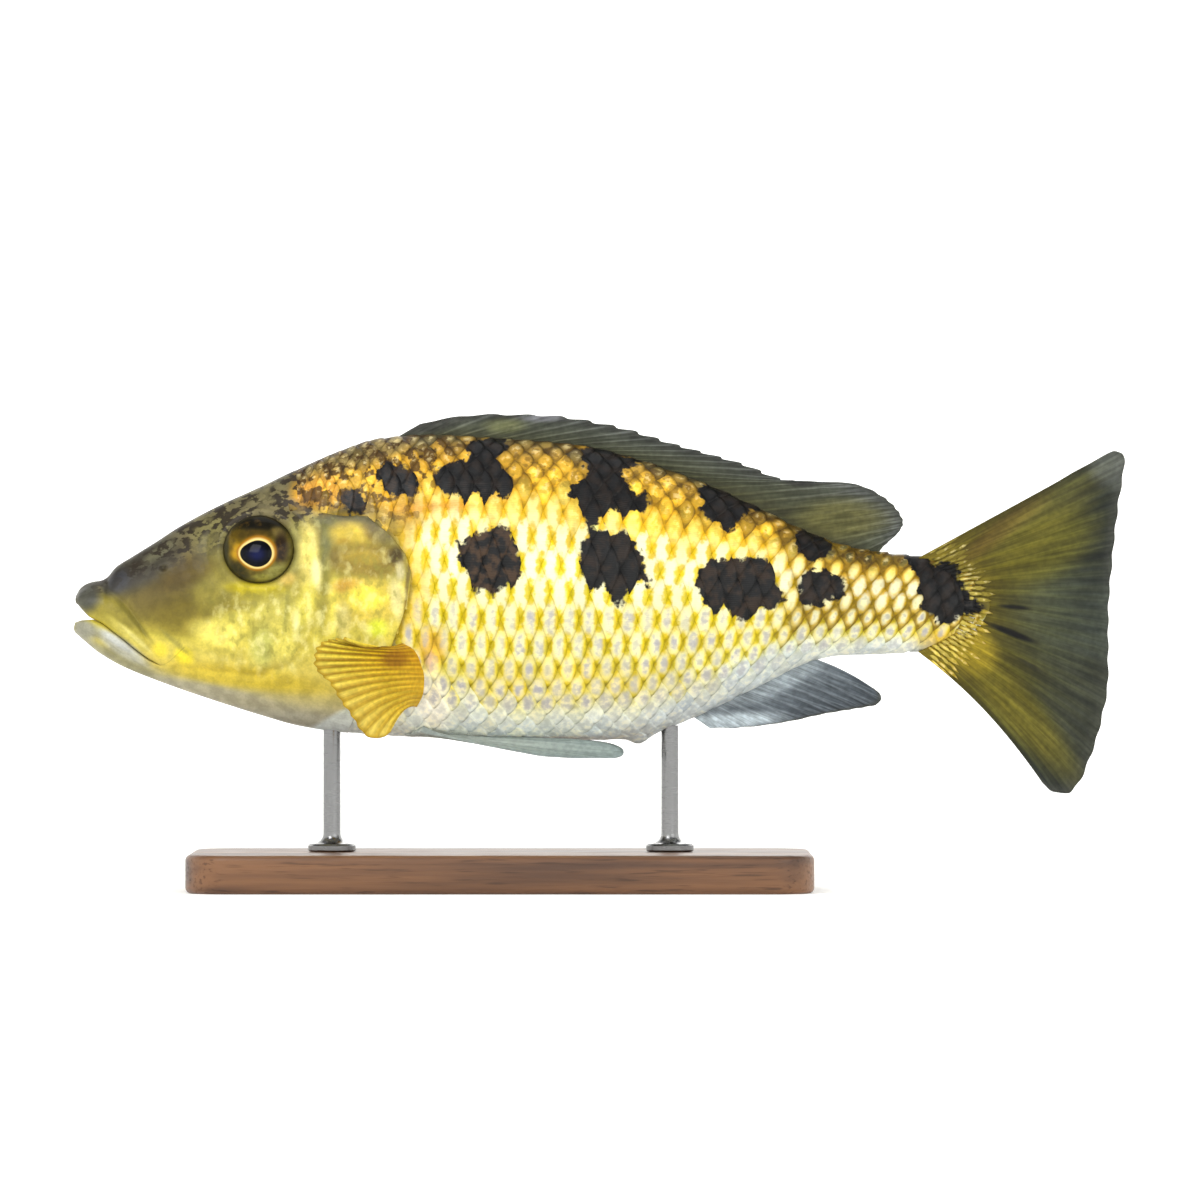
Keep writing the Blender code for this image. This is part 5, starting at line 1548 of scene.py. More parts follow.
    def build(self, side: Side, seed: int) -> Piece:
        """Makes the scales of one side.

        Args:
            side: Which side.
            seed: Starts the small differences of tint between the scales.

        Returns:
            The joined scales.
        """
        angles, arcs, first, last = self.row_tables()
        centres = self.centres(angles, arcs, first, last)
        local, sunk, faces = self.plate()
        px, row = centres[:, :1], centres[:, 1:]
        pitch = smooth_line(self.column_pitch, px)
        tall = np.abs(self.look_up(arcs, px, row + 0.5) - self.look_up(arcs, px, row - 0.5))
        lean = smooth_line(self.tilt, px)
        x = px + local[:, 0] * pitch - lean * local[:, 1] * tall
        turn = self.look_up(angles, x, row + local[:, 1] + 0 * x).clip(0.004, math.pi - 0.004)
        flush = self.flush(px, self.form.point(px, self.look_up(angles, px, row))[..., 2])
        lift = -0.12 + self.slope * (1 - 0.75 * flush) * local[:, 0] - 0.05 * local[:, 1] ** 2 - sunk
        lift = lift - 0.05 * smooth_step(local[:, 0], 0.38, 0.2)
        fit = np.clip(pitch / 3.4, 0.6, 1.1)
        pored = np.any([(row == line) & (px > low) & (px < high)
                        for line, low, high in self.lateral_rows], axis=0)
        tube = pored * 0.16 * bump(local[:, 1], 0.16) * smooth_step(local[:, 0], 0.5, -0.2)
        points = self.form.point(x, turn, lift * fit + tube)
        points[..., 1] *= -side.value
        total, each = points.shape[:2]
        order = np.array(faces[:-1])
        table = (order[None] + (np.arange(total) * each)[:, None, None]).reshape(-1, 4)
        ends = np.array(faces[-1])[None] + (np.arange(total) * each)[:, None]
        if side is Side.LEFT:
            table, ends = table[:, ::-1], ends[:, ::-1]
        coat = new_piece(f"scales_{side.name.lower()}", points.reshape(-1, 3), table.tolist() + ends.tolist())
        self.colour(coat, points, seed, local)
        self.map_scales(coat, side, centres, local, arcs)
        return coat

    def flush(self, x: Array, z: Array) -> Array:
        """Works out how smooth the coat lies: on the belly, the breast and the nape.

        Args:
            x: Places along the body.
            z: Their heights.

        Returns:
            How smooth, from 0 to 1.
        """
        share = self.form.height_share(x, z)
        breast = smooth_step(x, -24, -12) * smooth_step(z, 50, -6)
        nape = smooth_step(x, -42, -10) * smooth_step(share, 0.74, 0.1)
        return np.clip(smooth_step(share, 0.15, -0.09) + breast + 0.8 * nape, 0, 1)

    def colour(self, coat: Piece, points: Array, seed: int, local: Array) -> None:
        """Stores what the scale material reads: colours, blotches and places on the scale.

        Args:
            coat: The joined scales.
            points: Their points, scale by scale.
            seed: Starts the small differences between them.
            local: The points' places along and across their scale.
        """
        draw = np.random.default_rng(seed)
        total = len(points)
        x, z = points[..., 0], points[..., 2]
        middle = points[:, :(self.steps + 1) ** 2].mean(axis=1)
        cx, cz = middle[:, 0] + 0.5, middle[:, 2]
        share = self.marks.form.height_share(cx, cz)
        uneven = 0.03 + 0.08 * smooth_step(share, 0.68, 0.2)[:, None, None]
        shade = 1 + draw.normal(0.0, 1.0, (total, 1, 1)) * uneven
        warm = draw.normal(0.0, 0.008, (total, 1, 1)) * np.array([1.0, 0.3, -1.0])
        nudge = draw.normal(0.0, 0.02, total)
        margin = self.marks.trunk(self.marks.margin_stops, x, z, nudge[:, None]) * shade + warm
        mixed = 0.7 * z + 0.3 * cz[:, None]
        centre = self.marks.trunk(self.marks.centre_stops, x, mixed, nudge[:, None]) * shade + warm
        centre = centre + (margin - centre) * 0.8 * self.flush(cx, cz)[:, None, None]
        stalk = smooth_step(x, 32, 12) * smooth_step(share, 0.2, 0.1)[:, None]
        margin = margin + (srgb("#a07a1c") - margin) * 0.7 * stalk[..., None]
        merge = smooth_step((6.5 - x + self.marks.coat_edge(z)) / 6.0) * smooth_step(z, 76, 4)
        margin, centre = (tone + (self.marks.bare(x, z) - tone) * 0.85 * merge[..., None]
                          for tone in (margin, centre))
        set_colour(coat, "margin", margin.reshape(-1, 3).clip(0, 1))
        set_colour(coat, "centre", centre.reshape(-1, 3).clip(0, 1))
        spread = smooth_line(self.marks.spread_line, share) * draw.normal(1.0, 0.06, total)
        set_value(coat, "spread", spread[:, None] * (1 - 0.26 * stalk))
        netted = smooth_line(self.marks.netted_line, share + nudge)[:, None]
        set_value(coat, "netted", netted + (0.85 - netted).clip(0) * stalk)
        lilac = smooth_step(share, 0.48, -0.08) * smooth_step(share, 0.08, 0.06)
        lilac = lilac * draw.uniform(0.45, 1.0, total)
        set_value(coat, "lilac", lilac[:, None] + 0 * x)
        own = (self.marks.depth(cx, cz) + draw.normal(0.0, 0.3, total))[:, None]
        here = self.marks.depth(x, z)
        held = 0.35 * own + 0.65 * here
        set_value(coat, "dark_middle", (0.5 + held / 4).clip(0, 1))
        set_value(coat, "dark_rim", (0.5 + np.maximum(here + 0.3, held) / 4).clip(0, 1))
        set_value(coat, "brown", self.marks.brown(x, z))
        set_value(coat, "mottle", self.marks.mottle(x, z))
        chance = draw.random(total)[:, None] + 0 * x
        plate = np.stack([local[:, 0] + 0 * x, local[:, 1] + 0 * x, chance], -1)
        set_vector(coat, "plate", plate.reshape(-1, 3))

    def map_scales(self, coat: Piece, side: Side, centres: Array, local: Array, arcs: Array) -> None:
        """Lays each scale's patch at its root's place on the skin's unwrap.

        Args:
            coat: The joined scales.
            side: Their side.
            centres: Each scale's place along the body and its row.
            local: The points' places along and across their scale.
            arcs: Each row's arc at each place.
        """
        shift, length, girth = self.unwrap
        px, row = centres.T
        roots = np.stack([(px + shift) / length, 0.5 + side.value * self.look_up(arcs, px, row) / girth], 1)
        set_patches(coat, roots, local)


@dataclass(frozen=True)
class FinPaint:
    """A fin's colours: stops from root to tip for membrane and rays, with washes over both. On a pleated fin
    the membrane stops paint the folds' shade and the ray stops the crests' light.
    """

    membrane: Stops
    rays: Stops
    washes: tuple[Wash, ...] = ()
    edge: str = "#3f403a"
    edge_width: float = 0.04
    last_membrane: Stops = ()
    last_rays: Stops = ()


@dataclass
class Fin:
    """A fin of bony rays in a thin membrane, as thick at its root as the CAD's."""

    name: str
    slot: str
    nodes: tuple[str, ...]
    paint: FinPaint
    rays: int
    fine: int = 8  # columns from ray to ray
    rows: int = 26
    membrane_half: float = 0.16
    ray_half: float = 0.36
    root_half: float = 0.9
    notch: float = 0.01
    spine_notch: float = 0.05
    branch_from: float = 0.45
    ridge_from: float = 0.0  # share of the rays' length at which they start to stand out
    spines: float = 0.0  # share of the fin that has unbranched spines
    pleat: float = 0.0
    pleat_fall: float = 0.0  # how much shallower the pleats are at the last ray
    root_fade: float = 7.0

    def shares(self) -> Array:
        """Each column's place from the first ray to the last."""
        return np.linspace(0, 1, (self.rays - 1) * self.fine + 1)

    def ridge(self, share: Array, reach: Array) -> Array:
        """Draws the rays, which fork towards the tip.

        Args:
            share: Shares from the first ray to the last.
            reach: Shares of the rays' length.

        Returns:
            How much each point is ray rather than membrane.
        """
        spread = share * (self.rays - 1)
        off = spread - np.round(spread)
        soft = share > self.spines
        fork = 0.21 * smooth_step((reach - self.branch_from) / 0.5) * soft
        again = 0.09 * smooth_step(reach, 0.72, 0.3) * soft
        width = 0.15 - 0.06 * reach
        near = np.abs(np.abs(np.abs(off) - fork) - again)
        start = smooth_step((reach - self.ridge_from) / 0.15 + 1 - (self.ridge_from > 0))
        return bump(near, width) * start

    def ends(self, start: Array, end: Array) -> Array:
        """Makes the membrane between the rays a little shorter.

        Args:
            start: The columns' roots.
            end: Their tips.

        Returns:
            Their tips, notched.
        """
        off = self.shares() * (self.rays - 1)
        short = np.sin(math.pi * (off - np.floor(off))) ** 2
        spiny = smooth_step((self.spines - self.shares()) / 0.05)
        notch = self.notch + (self.spine_notch - self.notch) * spiny
        return start + (end - start) * (1 - notch * short)[:, None]

    def make(self, middle: Array, side: Side = Side.LEFT) -> Piece:
        """Builds the fin over its middle surface.

        Args:
            middle: Points in millimetres, by column and row.
            side: The side it is on, which mirrors a paired fin.

        Returns:
            The fin, coloured.
        """
        columns, rows = middle.shape[:2]
        share = self.shares()[:, None] + np.zeros((1, rows))
        reach = np.linspace(0, 1, rows)[None, :] + np.zeros((columns, 1))
        ray = self.ridge(share, reach)
        half = self.membrane_half + (self.ray_half * (1 - 0.45 * reach) - self.membrane_half) * ray
        half = half + (self.root_half - half) * np.exp(-self.root_fade * reach)
        half *= 1 - 0.75 * smooth_step(reach, 0.965, 0.035)
        outer = np.minimum(share, 1 - share) * (self.rays - 1)
        half *= 0.35 + 0.65 * smooth_step(outer / 0.22 + np.exp(-12 * reach))
        run, spread = np.gradient(middle, axis=1), np.gradient(middle, axis=0)
        normal = np.cross(spread, run)
        normal /= np.linalg.norm(normal, axis=2)[..., None]
        fold = np.cos(2 * math.pi * share * (self.rays - 1))
        deep = self.pleat * (1 - self.pleat_fall * share) * smooth_step((reach - self.ridge_from) * 3)
        middle = middle + normal * (fold * deep)[..., None]
        faces_points = np.concatenate([(middle + normal * half[..., None]).reshape(-1, 3),
                                       (middle - normal * half[..., None]).reshape(-1, 3)])
        if side is Side.RIGHT:
            faces_points = faces_points * np.array([1, -1, 1])
        other = columns * rows
        index = np.arange(other).reshape(columns, rows)
        quads = np.stack([index[:-1, :-1], index[1:, :-1], index[1:, 1:], index[:-1, 1:]], -1).reshape(-1, 4)
        rim = np.array([*index[:, 0], *index[-1, 1:], *index[-2::-1, -1], *index[0, -2:0:-1]])
        around = np.stack([np.roll(rim, -1), rim, rim + other, np.roll(rim, -1) + other], -1)
        fin = new_piece(self.name if side is Side.LEFT else self.name.replace("left", "right"), faces_points,
                        quads.tolist() + (quads[:, ::-1] + other).tolist() + around.tolist())
        face_outwards(fin)
        # On a pleated fin the ray colour goes on the pleats' crests and the membrane colour in their folds: a
        # painted highlight on the crests and painted shade in the folds.
        lit = ray if not self.pleat else np.clip(0.5 + 0.5 * fold, 0, 1) ** 1.3
        self.colour(fin, middle, share, reach, lit)
        return fin

    def colour(self, fin: Piece, middle: Array, share: Array, reach: Array, ray: Array) -> None:
        """Stores what the fin material reads.

        Args:
            fin: The fin.
            middle: Its middle surface, by column and row.
            share: Shares from the first ray to the last.
            reach: Shares of the rays' length.
            ray: How much each point is ray; on a pleated fin, how near it lies to a pleat's crest, so that
                the ray colour paints light on the crests and shade in the folds.
        """
        x, z = middle[..., 0], middle[..., 2]
        paint = self.paint
        edge = smooth_step((reach - 1 + 2 * paint.edge_width) / (2 * paint.edge_width))[..., None] * 0.8
        both = []
        later = smooth_step(share * 1.6 - 0.3)[..., None]
        for stops, last in ((paint.membrane, paint.last_membrane), (paint.rays, paint.last_rays)):
            colours = ramp(stops, reach)
            if last:
                colours = colours * (1 - later) + ramp(last, reach) * later
            colours = colours * (1 - edge) + srgb(paint.edge) * edge
            both.append(washed(colours, paint.washes, x, z).reshape(-1, 3))
        set_colour(fin, "ground", np.concatenate([both[0]] * 2))
        set_colour(fin, "ray_colour", np.concatenate([both[1]] * 2))
        set_value(fin, "ray", np.concatenate([ray.ravel()] * 2))
        length = np.linalg.norm(middle - middle[:, :1], axis=2) * MM
        lie = np.stack([share, reach, length], -1).reshape(-1, 3)
        set_vector(fin, "lie", np.concatenate([lie] * 2))


@dataclass
class FlatFin(Fin):
    """A fin on the fish's middle plane."""

    root: Line = ()
    tips: Line = ()
    lean: Line = ((0, 0), (0.5, 0.5), (1, 1))  # place on the root line to place on the tips
    bow: float = 0.0
    sink: float = 0.0
    ripple: float = 0.0

    def flat(self, share: Array, reach: Array, notched: bool = False) -> Array:
        """Places on the fin's plane.

        Args:
            share: Shares from the first ray to the last, on the first axis.
            reach: Shares of the rays' length, on the second axis.
            notched: Whether the membrane is shorter between the rays.

        Returns:
            Places in side view, on a last axis of two.
        """
        start = along([(x, z + self.sink) for x, z in self.root], share)
        end = along(self.tips, smooth_line(self.lean, share))
        if notched:
            end = self.ends(start, end)
        reach = np.asarray(reach)[None, :]
        flat = start[:, None] + (end - start)[:, None] * reach[..., None] ** 0.92
        flat[..., 1] += self.bow * share[:, None] ** 4 * 4 * reach * (1 - reach)
        return flat

    def half(self, reach: Array) -> Array:
        """Half the membrane's thickness along the rays."""
        return self.membrane_half + (self.root_half - self.membrane_half) * np.exp(-self.root_fade * reach)

    def build(self) -> Piece:
        """Makes the fin from its root line to its tip line.

        Returns:
            The fin, coloured.
        """
        share, reach = self.shares(), np.linspace(0, 1, self.rows)
        flat = self.flat(share, reach, notched=True)
        sway = self.ripple * np.sin(9.0 * share[:, None] + 2.2 * reach) * reach ** 1.5
        return self.make(np.stack([flat[..., 0], sway, flat[..., 1]], -1))


@dataclass
class PectoralFin(Fin):
    """A pectoral fin, held out from the body and swept forward as a pleated fan."""

    form: BodyForm = BodyForm()
    root: Line = ((-41, 51.2), (-38.6, 49.9), (-37.2, 47.4), (-36.5, 44.2), (-36.8, 41.4), (-38.4, 38.6))
    tips: Line = (
        (-52.2, 52.8), (-55.8, 52.4), (-58.2, 50.5), (-58.6, 47.6), (-57.6, 45.6), (-55.6, 43.7),
        (-53.3, 39.8), (-51.3, 37), (-49.9, 34.6), (-48.6, 32.9), (-46.6, 32), (-44.6, 32.3),
        (-43.2, 33.4))
    spacing: Line = ((0, 0), (0.5, 0.40), (1, 1))  # ray's share to place on the tips
    out: Line = ((0, 21.5), (0.3, 25), (0.7, 19), (1, 12.5))
    turn: tuple[float, float, float] = (0.50, 0.72, 0.14)
    arch: float = 0.9
    dip: float = 1.6

    def build(self, side: Side) -> Piece:
        """Makes the fin of one side.

        Args:
            side: Which side.

        Returns:
            The fin, coloured.
        """
        share = self.shares()
        root, tips = along(self.root, share), along(self.tips, smooth_line(self.spacing, share))
        flank = self.form.side(root[:, 0], root[:, 1])
        start = np.stack([root[:, 0], 1.6 - flank, root[:, 1]], 1)
        end = self.ends(start, np.stack([tips[:, 0], -flank - smooth_line(self.out, share), tips[:, 1]], 1))
        turn = start + (end - start) * np.array(self.turn)
        turn[:, 2] += self.arch - (self.arch + self.dip) * (1 - share) ** 4
        reach = np.linspace(0, 1, self.rows)[None, :, None]
        return self.make((1 - reach) ** 2 * start[:, None] + 2 * reach * (1 - reach) * turn[:, None]
                         + reach ** 2 * end[:, None], side)


@dataclass
class PelvicFin(Fin):
    """A pelvic fin, folded back under the belly, its inner edge close to the skin."""

    root: Sequence[tuple[float, float, float]] = (
        (-37, -7.4, 32.6), (-39, -5, 32.2), (-41, -2.6, 32))
    tips: Sequence[tuple[float, float, float]] = (
        (-12, -9.6, 28.1), (-4, -9.2, 27.7), (2.6, -8.4, 27.7), (5, -7.8, 28.2), (5.4, -7.2, 28.9),
        (4.4, -6.4, 29.8), (0.6, -5.6, 30.9), (-5, -4.8, 31.5), (-12, -3.8, 31.7))
    drop: float = 0.5

    def build(self, side: Side) -> Piece:
        """Makes the fin of one side.

        Args:
            side: Which side.

        Returns:
            The fin, coloured.
        """
        share = self.shares()
        start = along(self.root, share) + np.array([0, 0, 1.2])
        end = self.ends(start, along(self.tips, share))
        reach = np.linspace(0, 1, self.rows)[None, :, None]
        middle = start[:, None] + (end - start)[:, None] * reach
        middle[..., 2] -= self.drop * np.sin(math.pi * reach[..., 0] ** 0.6)
        return self.make(middle, side)


@dataclass
class TailScales:
    """Small pointed scales in rays over the root of the tail fin, on both of its faces."""

    form: BodyForm
    marks: Markings
    fin: FlatFin
    unwrap: tuple[float, float, float]
    rays: int = 30
    pitch: float = 2.3
    middle: tuple[float, float] = (65.0, 59.6)
    reach: tuple[float, float] = (9.0, 15.6)
    steps: int = 2
    sink: float = 0.4  # how deep a scale's underside lies in the fin

    def plate(self) -> tuple[Array, Array, Faces]:
        """Shapes one scale, with a long point.

        Returns:
            The points' places along and across it, how deep each is sunk, and the faces.
        """
        across = np.linspace(-1, 1, self.steps + 1)[None, :]
        run = np.linspace(0, 1, self.steps + 1)[:, None]
        rear = 0.95 - 0.7 * np.abs(across) ** 1.5
        face = np.stack(np.broadcast_arrays(-0.6 + (rear + 0.6) * run, across * (1 - 0.25 * run)), -1)
        face = face.reshape(-1, 2)
        rim, faces = plate_faces(self.steps)
        first = len(face)
        faces += [(first, first + i + 2, first + i + 1, first + i) for i in range(1, len(rim) - 2, 2)]
        return np.concatenate([face, face[rim]]), np.r_[np.zeros(first), np.full(len(rim), self.sink)], faces

    def spots(self, draw: np.random.Generator) -> list[tuple[float, float]]:
        """Sets out the scales along the rays.

        Args:
            draw: Draws the coat's ragged edge.

        Returns:
            Each scale's share of the fin and its distance along the ray.
        """
        share = np.linspace(0.01, 0.99, self.rays)
        lines = self.fin.flat(share, np.linspace(0, 0.5, 101))
        found = []
        for i, line in enumerate(lines):
            length = np.r_[0, np.cumsum(np.linalg.norm(np.diff(line, axis=0), axis=1))]
            at = np.arange(0.3 + 0.5 * self.pitch * (i % 2), length[-1], self.pitch)
            place = np.stack([np.interp(at, length, line[:, k]) for k in (0, 1)], 1)
            away = np.hypot(*(place - np.array(self.middle)).T)
            kept = (away > self.reach[0]) & (away < self.reach[1] + draw.normal(0, 0.4, len(at)))
            kept &= place[:, 0] > 69
            found += [(share[i], value) for value in at[kept]]
        return found

    def build(self) -> Piece:
        """Makes the scales of both faces.

        Returns:
            The joined scales.
        """
        draw = np.random.default_rng(5)
        local, sunk, faces = self.plate()
        fine = np.linspace(0, 0.5, 101)
        points = []
        for own, at in self.spots(draw):
            run_at = at + local[:, 0] * self.pitch * draw.uniform(0.9, 1.2)
            flat = self.fin.flat(np.clip(own + local[:, 1] * 0.52 / self.rays, 0, 1), fine)
            step = np.linalg.norm(np.diff(flat, axis=1), axis=2)
            length = np.concatenate([np.zeros((len(local), 1)), np.cumsum(step, axis=1)], 1)
            reach = np.array([np.interp(value, row, fine) for value, row in zip(run_at, length)])
            place = np.array([[np.interp(r, fine, row[:, k]) for k in (0, 1)] for r, row in zip(reach, flat)])
            body = np.where(place[:, 0] < 81.8, self.form.side(place[:, 0].clip(max=81.0), place[:, 1]), 0)
            stand = np.maximum(self.fin.half(reach), body) + 0.02 + 0.10 * local[:, 0] - sunk
            points.append(np.stack([place[:, 0], -stand, place[:, 1]], 1))
        points = np.array(points)
        both = np.concatenate([points, points * np.array([1, -1, 1])])
        start = (np.arange(len(both)) * len(local))[:, None, None]
        order = np.array(faces)
        table = np.concatenate([(order + start[:len(points)])[..., ::-1], order + start[len(points):]])
        coat = new_piece("tail_scales", both.reshape(-1, 3), table.reshape(-1, 4).tolist())
        self.colour(coat, both, local, draw)
        return coat

    def colour(self, coat: Piece, points: Array, local: Array, draw: np.random.Generator) -> None:
        """Stores what the scale material reads, and lays the patches of the bake map.

        Args:
            coat: The joined scales.
            points: Their points, scale by scale.
            local: The points' places along and across their scale.
            draw: Draws the small differences between them.
        """
        x, z = points[..., 0], points[..., 2]
        total = len(points)
        centre = points[:, :(self.steps + 1) ** 2].mean(axis=1)
        away = np.hypot(x - self.middle[0], z - self.middle[1])
        fresh = (1 - 0.7 * smooth_step(away, 12.5, 4)) * (1 - 0.6 * smooth_step(z, 64, 4))
        low = smooth_step(z, 61, -4)[..., None]
        margin = srgb("#756822") * (1 - low) + srgb("#a3881c") * low
        pale = margin + (srgb("#dfc95e") * draw.normal(1.0, 0.08, (total, 1, 1)) - margin) * fresh[..., None]
        set_colour(coat, "margin", margin.reshape(-1, 3))
        set_colour(coat, "centre", pale.reshape(-1, 3).clip(0, 1))
        here = 0.5 * self.marks.depth(x, z) + 0.5 * self.marks.depth(centre[:, 0], centre[:, 2])[:, None]
        black = (0.5 + here / 4).clip(0, 1)
        for name, value in (("spread", 0.8), ("netted", 1.0), ("lilac", 0.0), ("dark_rim", black),
                            ("dark_middle", black), ("brown", 0.0), ("mottle", 0.0)):
            set_value(coat, name, value + 0 * x)
        chance = draw.random((total, 1)) + 0 * x
        plate = np.stack([local[:, 0] * 0.5 + 0 * x, local[:, 1] + 0 * x, chance], -1)
        set_vector(coat, "plate", plate.reshape(-1, 3))
        shift, length, girth = self.unwrap
        down = np.clip(70.5 - centre[:, 2], 0.5, 20) / girth
        roots = np.stack([(np.minimum(centre[:, 0], 80.6) + shift) / length,
                          0.5 + np.sign(centre[:, 1]) * down], 1)
        set_patches(coat, roots, local)


def face_outwards(piece: Piece) -> None:
    """Turns a closed piece's faces outwards.

    Args:
        piece: The piece.
    """
    shape = bmesh.new()
    shape.from_mesh(piece.data)
    bmesh.ops.recalc_face_normals(shape, faces=shape.faces)
    shape.to_mesh(piece.data)
    shape.free()


@dataclass
class Eye:
    """An eyeball with a domed lens in a pupil drawn to a point in front, a bright ring and iris."""

    head: HeadForm
    pupil: float = 2.8
    point: float = 0.26  # how far the pupil runs forward, as a share of its radius
    ring_width: float = 1.1
    shift: tuple[float, float] = (0.3, -1.9)  # from the ball's middle to the pupil's, along and up
    iris_edge: float = 0.91
    segments: int = 80
    rings: int = 96
    washes: tuple[Wash, ...] = (
        Wash("#6a540e", -4.8, 0.6, 4.6, 8, 10, 0.95),
        Wash("#b68a16", -4.2, -1.4, 2.4, 4.4, 0, 0.95),
        Wash("#2c2a0c", -6.9, -1, 1.6, 10, 0, 0.9),
        # Painted shadow of the orbit's upper rim across the top of the eye.
        Wash("#0e0c04", 0, 6.4, 15, 7, -6, 1),
        Wash("#4a3a0e", -1, 2.6, 9, 2.4, 0, 0.85),
        Wash("#7a6a3a", 4.2, 3.2, 3, 2.2, -40, 0.75),
        # Painted shadow on the iris behind the lens.
        Wash("#251a12", 4.9, -0.2, 2.6, 6.4, 0, 0.95),
        Wash("#8e8a48", 3.6, -5.2, 5.6, 2.6, 32, 0.9),
        Wash("#2b280c", -4.2, -5, 5.6, 3.6, -40, 0.9),
        Wash("#8a8436", 0.8, -6.3, 3.4, 1.2, 4, 0.85),
    )

    def build(self, side: Side) -> Piece:
        """Makes one eye from a sphere, its rings drawn to the outlines of pupil and iris.

        Args:
            side: Which side.

        Returns:
            The eyeball, coloured.
        """
        clear_selection()
        bpy.ops.mesh.primitive_uv_sphere_add(segments=self.segments, ring_count=self.rings, radius=1)
        eye = bpy.context.object
        eye.name = eye.data.name = f"eyeball_{side.name.lower()}"
        spots = np.array([vertex.co for vertex in eye.data.vertices])
        polar = np.arccos(spots[:, 2].clip(-1, 1)) / (math.pi / 2)
        around = np.arctan2(spots[:, 1], spots[:, 0])
        wide, deep, high = self.head.eye_radii
        front = np.clip(-np.cos(around), 0, 1) ** 5
        hole = self.pupil / high * (1 + self.point * front)
        bright = hole + self.ring_width / high * (1 - 0.25 * front)
        kind = np.interp(polar, [0, 0.35, 0.5, 0.84, 1.0], [0, 1, 2, 3, 4])
        stops = np.stack([0 * hole, hole, bright, 0 * hole + self.iris_edge, 0 * hole + 1])
        low = np.clip(np.floor(kind).astype(int), 0, 3)
        part = kind - low
        inner, outer = (np.take_along_axis(stops, low[None] + i, 0)[0] for i in (0, 1))
        radius = inner * (1 - part) + outer * part
        depth = np.where(polar <= 1, np.sqrt(np.clip(1 - radius ** 2, 0, 1)), np.cos(polar * math.pi / 2))
        radius = np.where(polar <= 1, radius, np.sin(polar * math.pi / 2))
        lens = 0.42 * np.clip(1 - kind ** 2, 0, 1) ** 0.5
        dish = 0.05 * bump(kind - 1.4, 0.3) - 0.22 * bump(kind - 2.3, 0.5)
        shape = (lens + dish) * (polar <= 1)
        middle = np.clip(1 - radius ** 2, 0, 1) * (polar <= 1)
        run = radius * np.cos(around) * wide + self.shift[0] * middle
        rise = radius * np.sin(around) * high + self.shift[1] * middle
        turn = Euler([math.radians(side.value * angle) for angle in self.head.eye_turn]).to_matrix()
        centre = Vector((self.head.eye[0], side.value * self.head.eye[1], self.head.eye[2]))
        for vertex, x, y, z in zip(eye.data.vertices, run, side.value * (depth * deep + shape), rise):
            vertex.co = (turn @ Vector((x, y, z)) + centre) * MM
        face_outwards(eye)
        eye.data.shade_smooth()
        base = ramp(((0, "#6f5c20"), (1, "#57501f")), radius)
        set_colour(eye, "ground", washed(base, self.washes, run, rise))
        set_value(eye, "ring", np.where(polar <= 1, kind, 4))
        set_vector(eye, "spoke", np.stack([np.cos(around), np.sin(around), kind * 0.5], -1))
        return eye


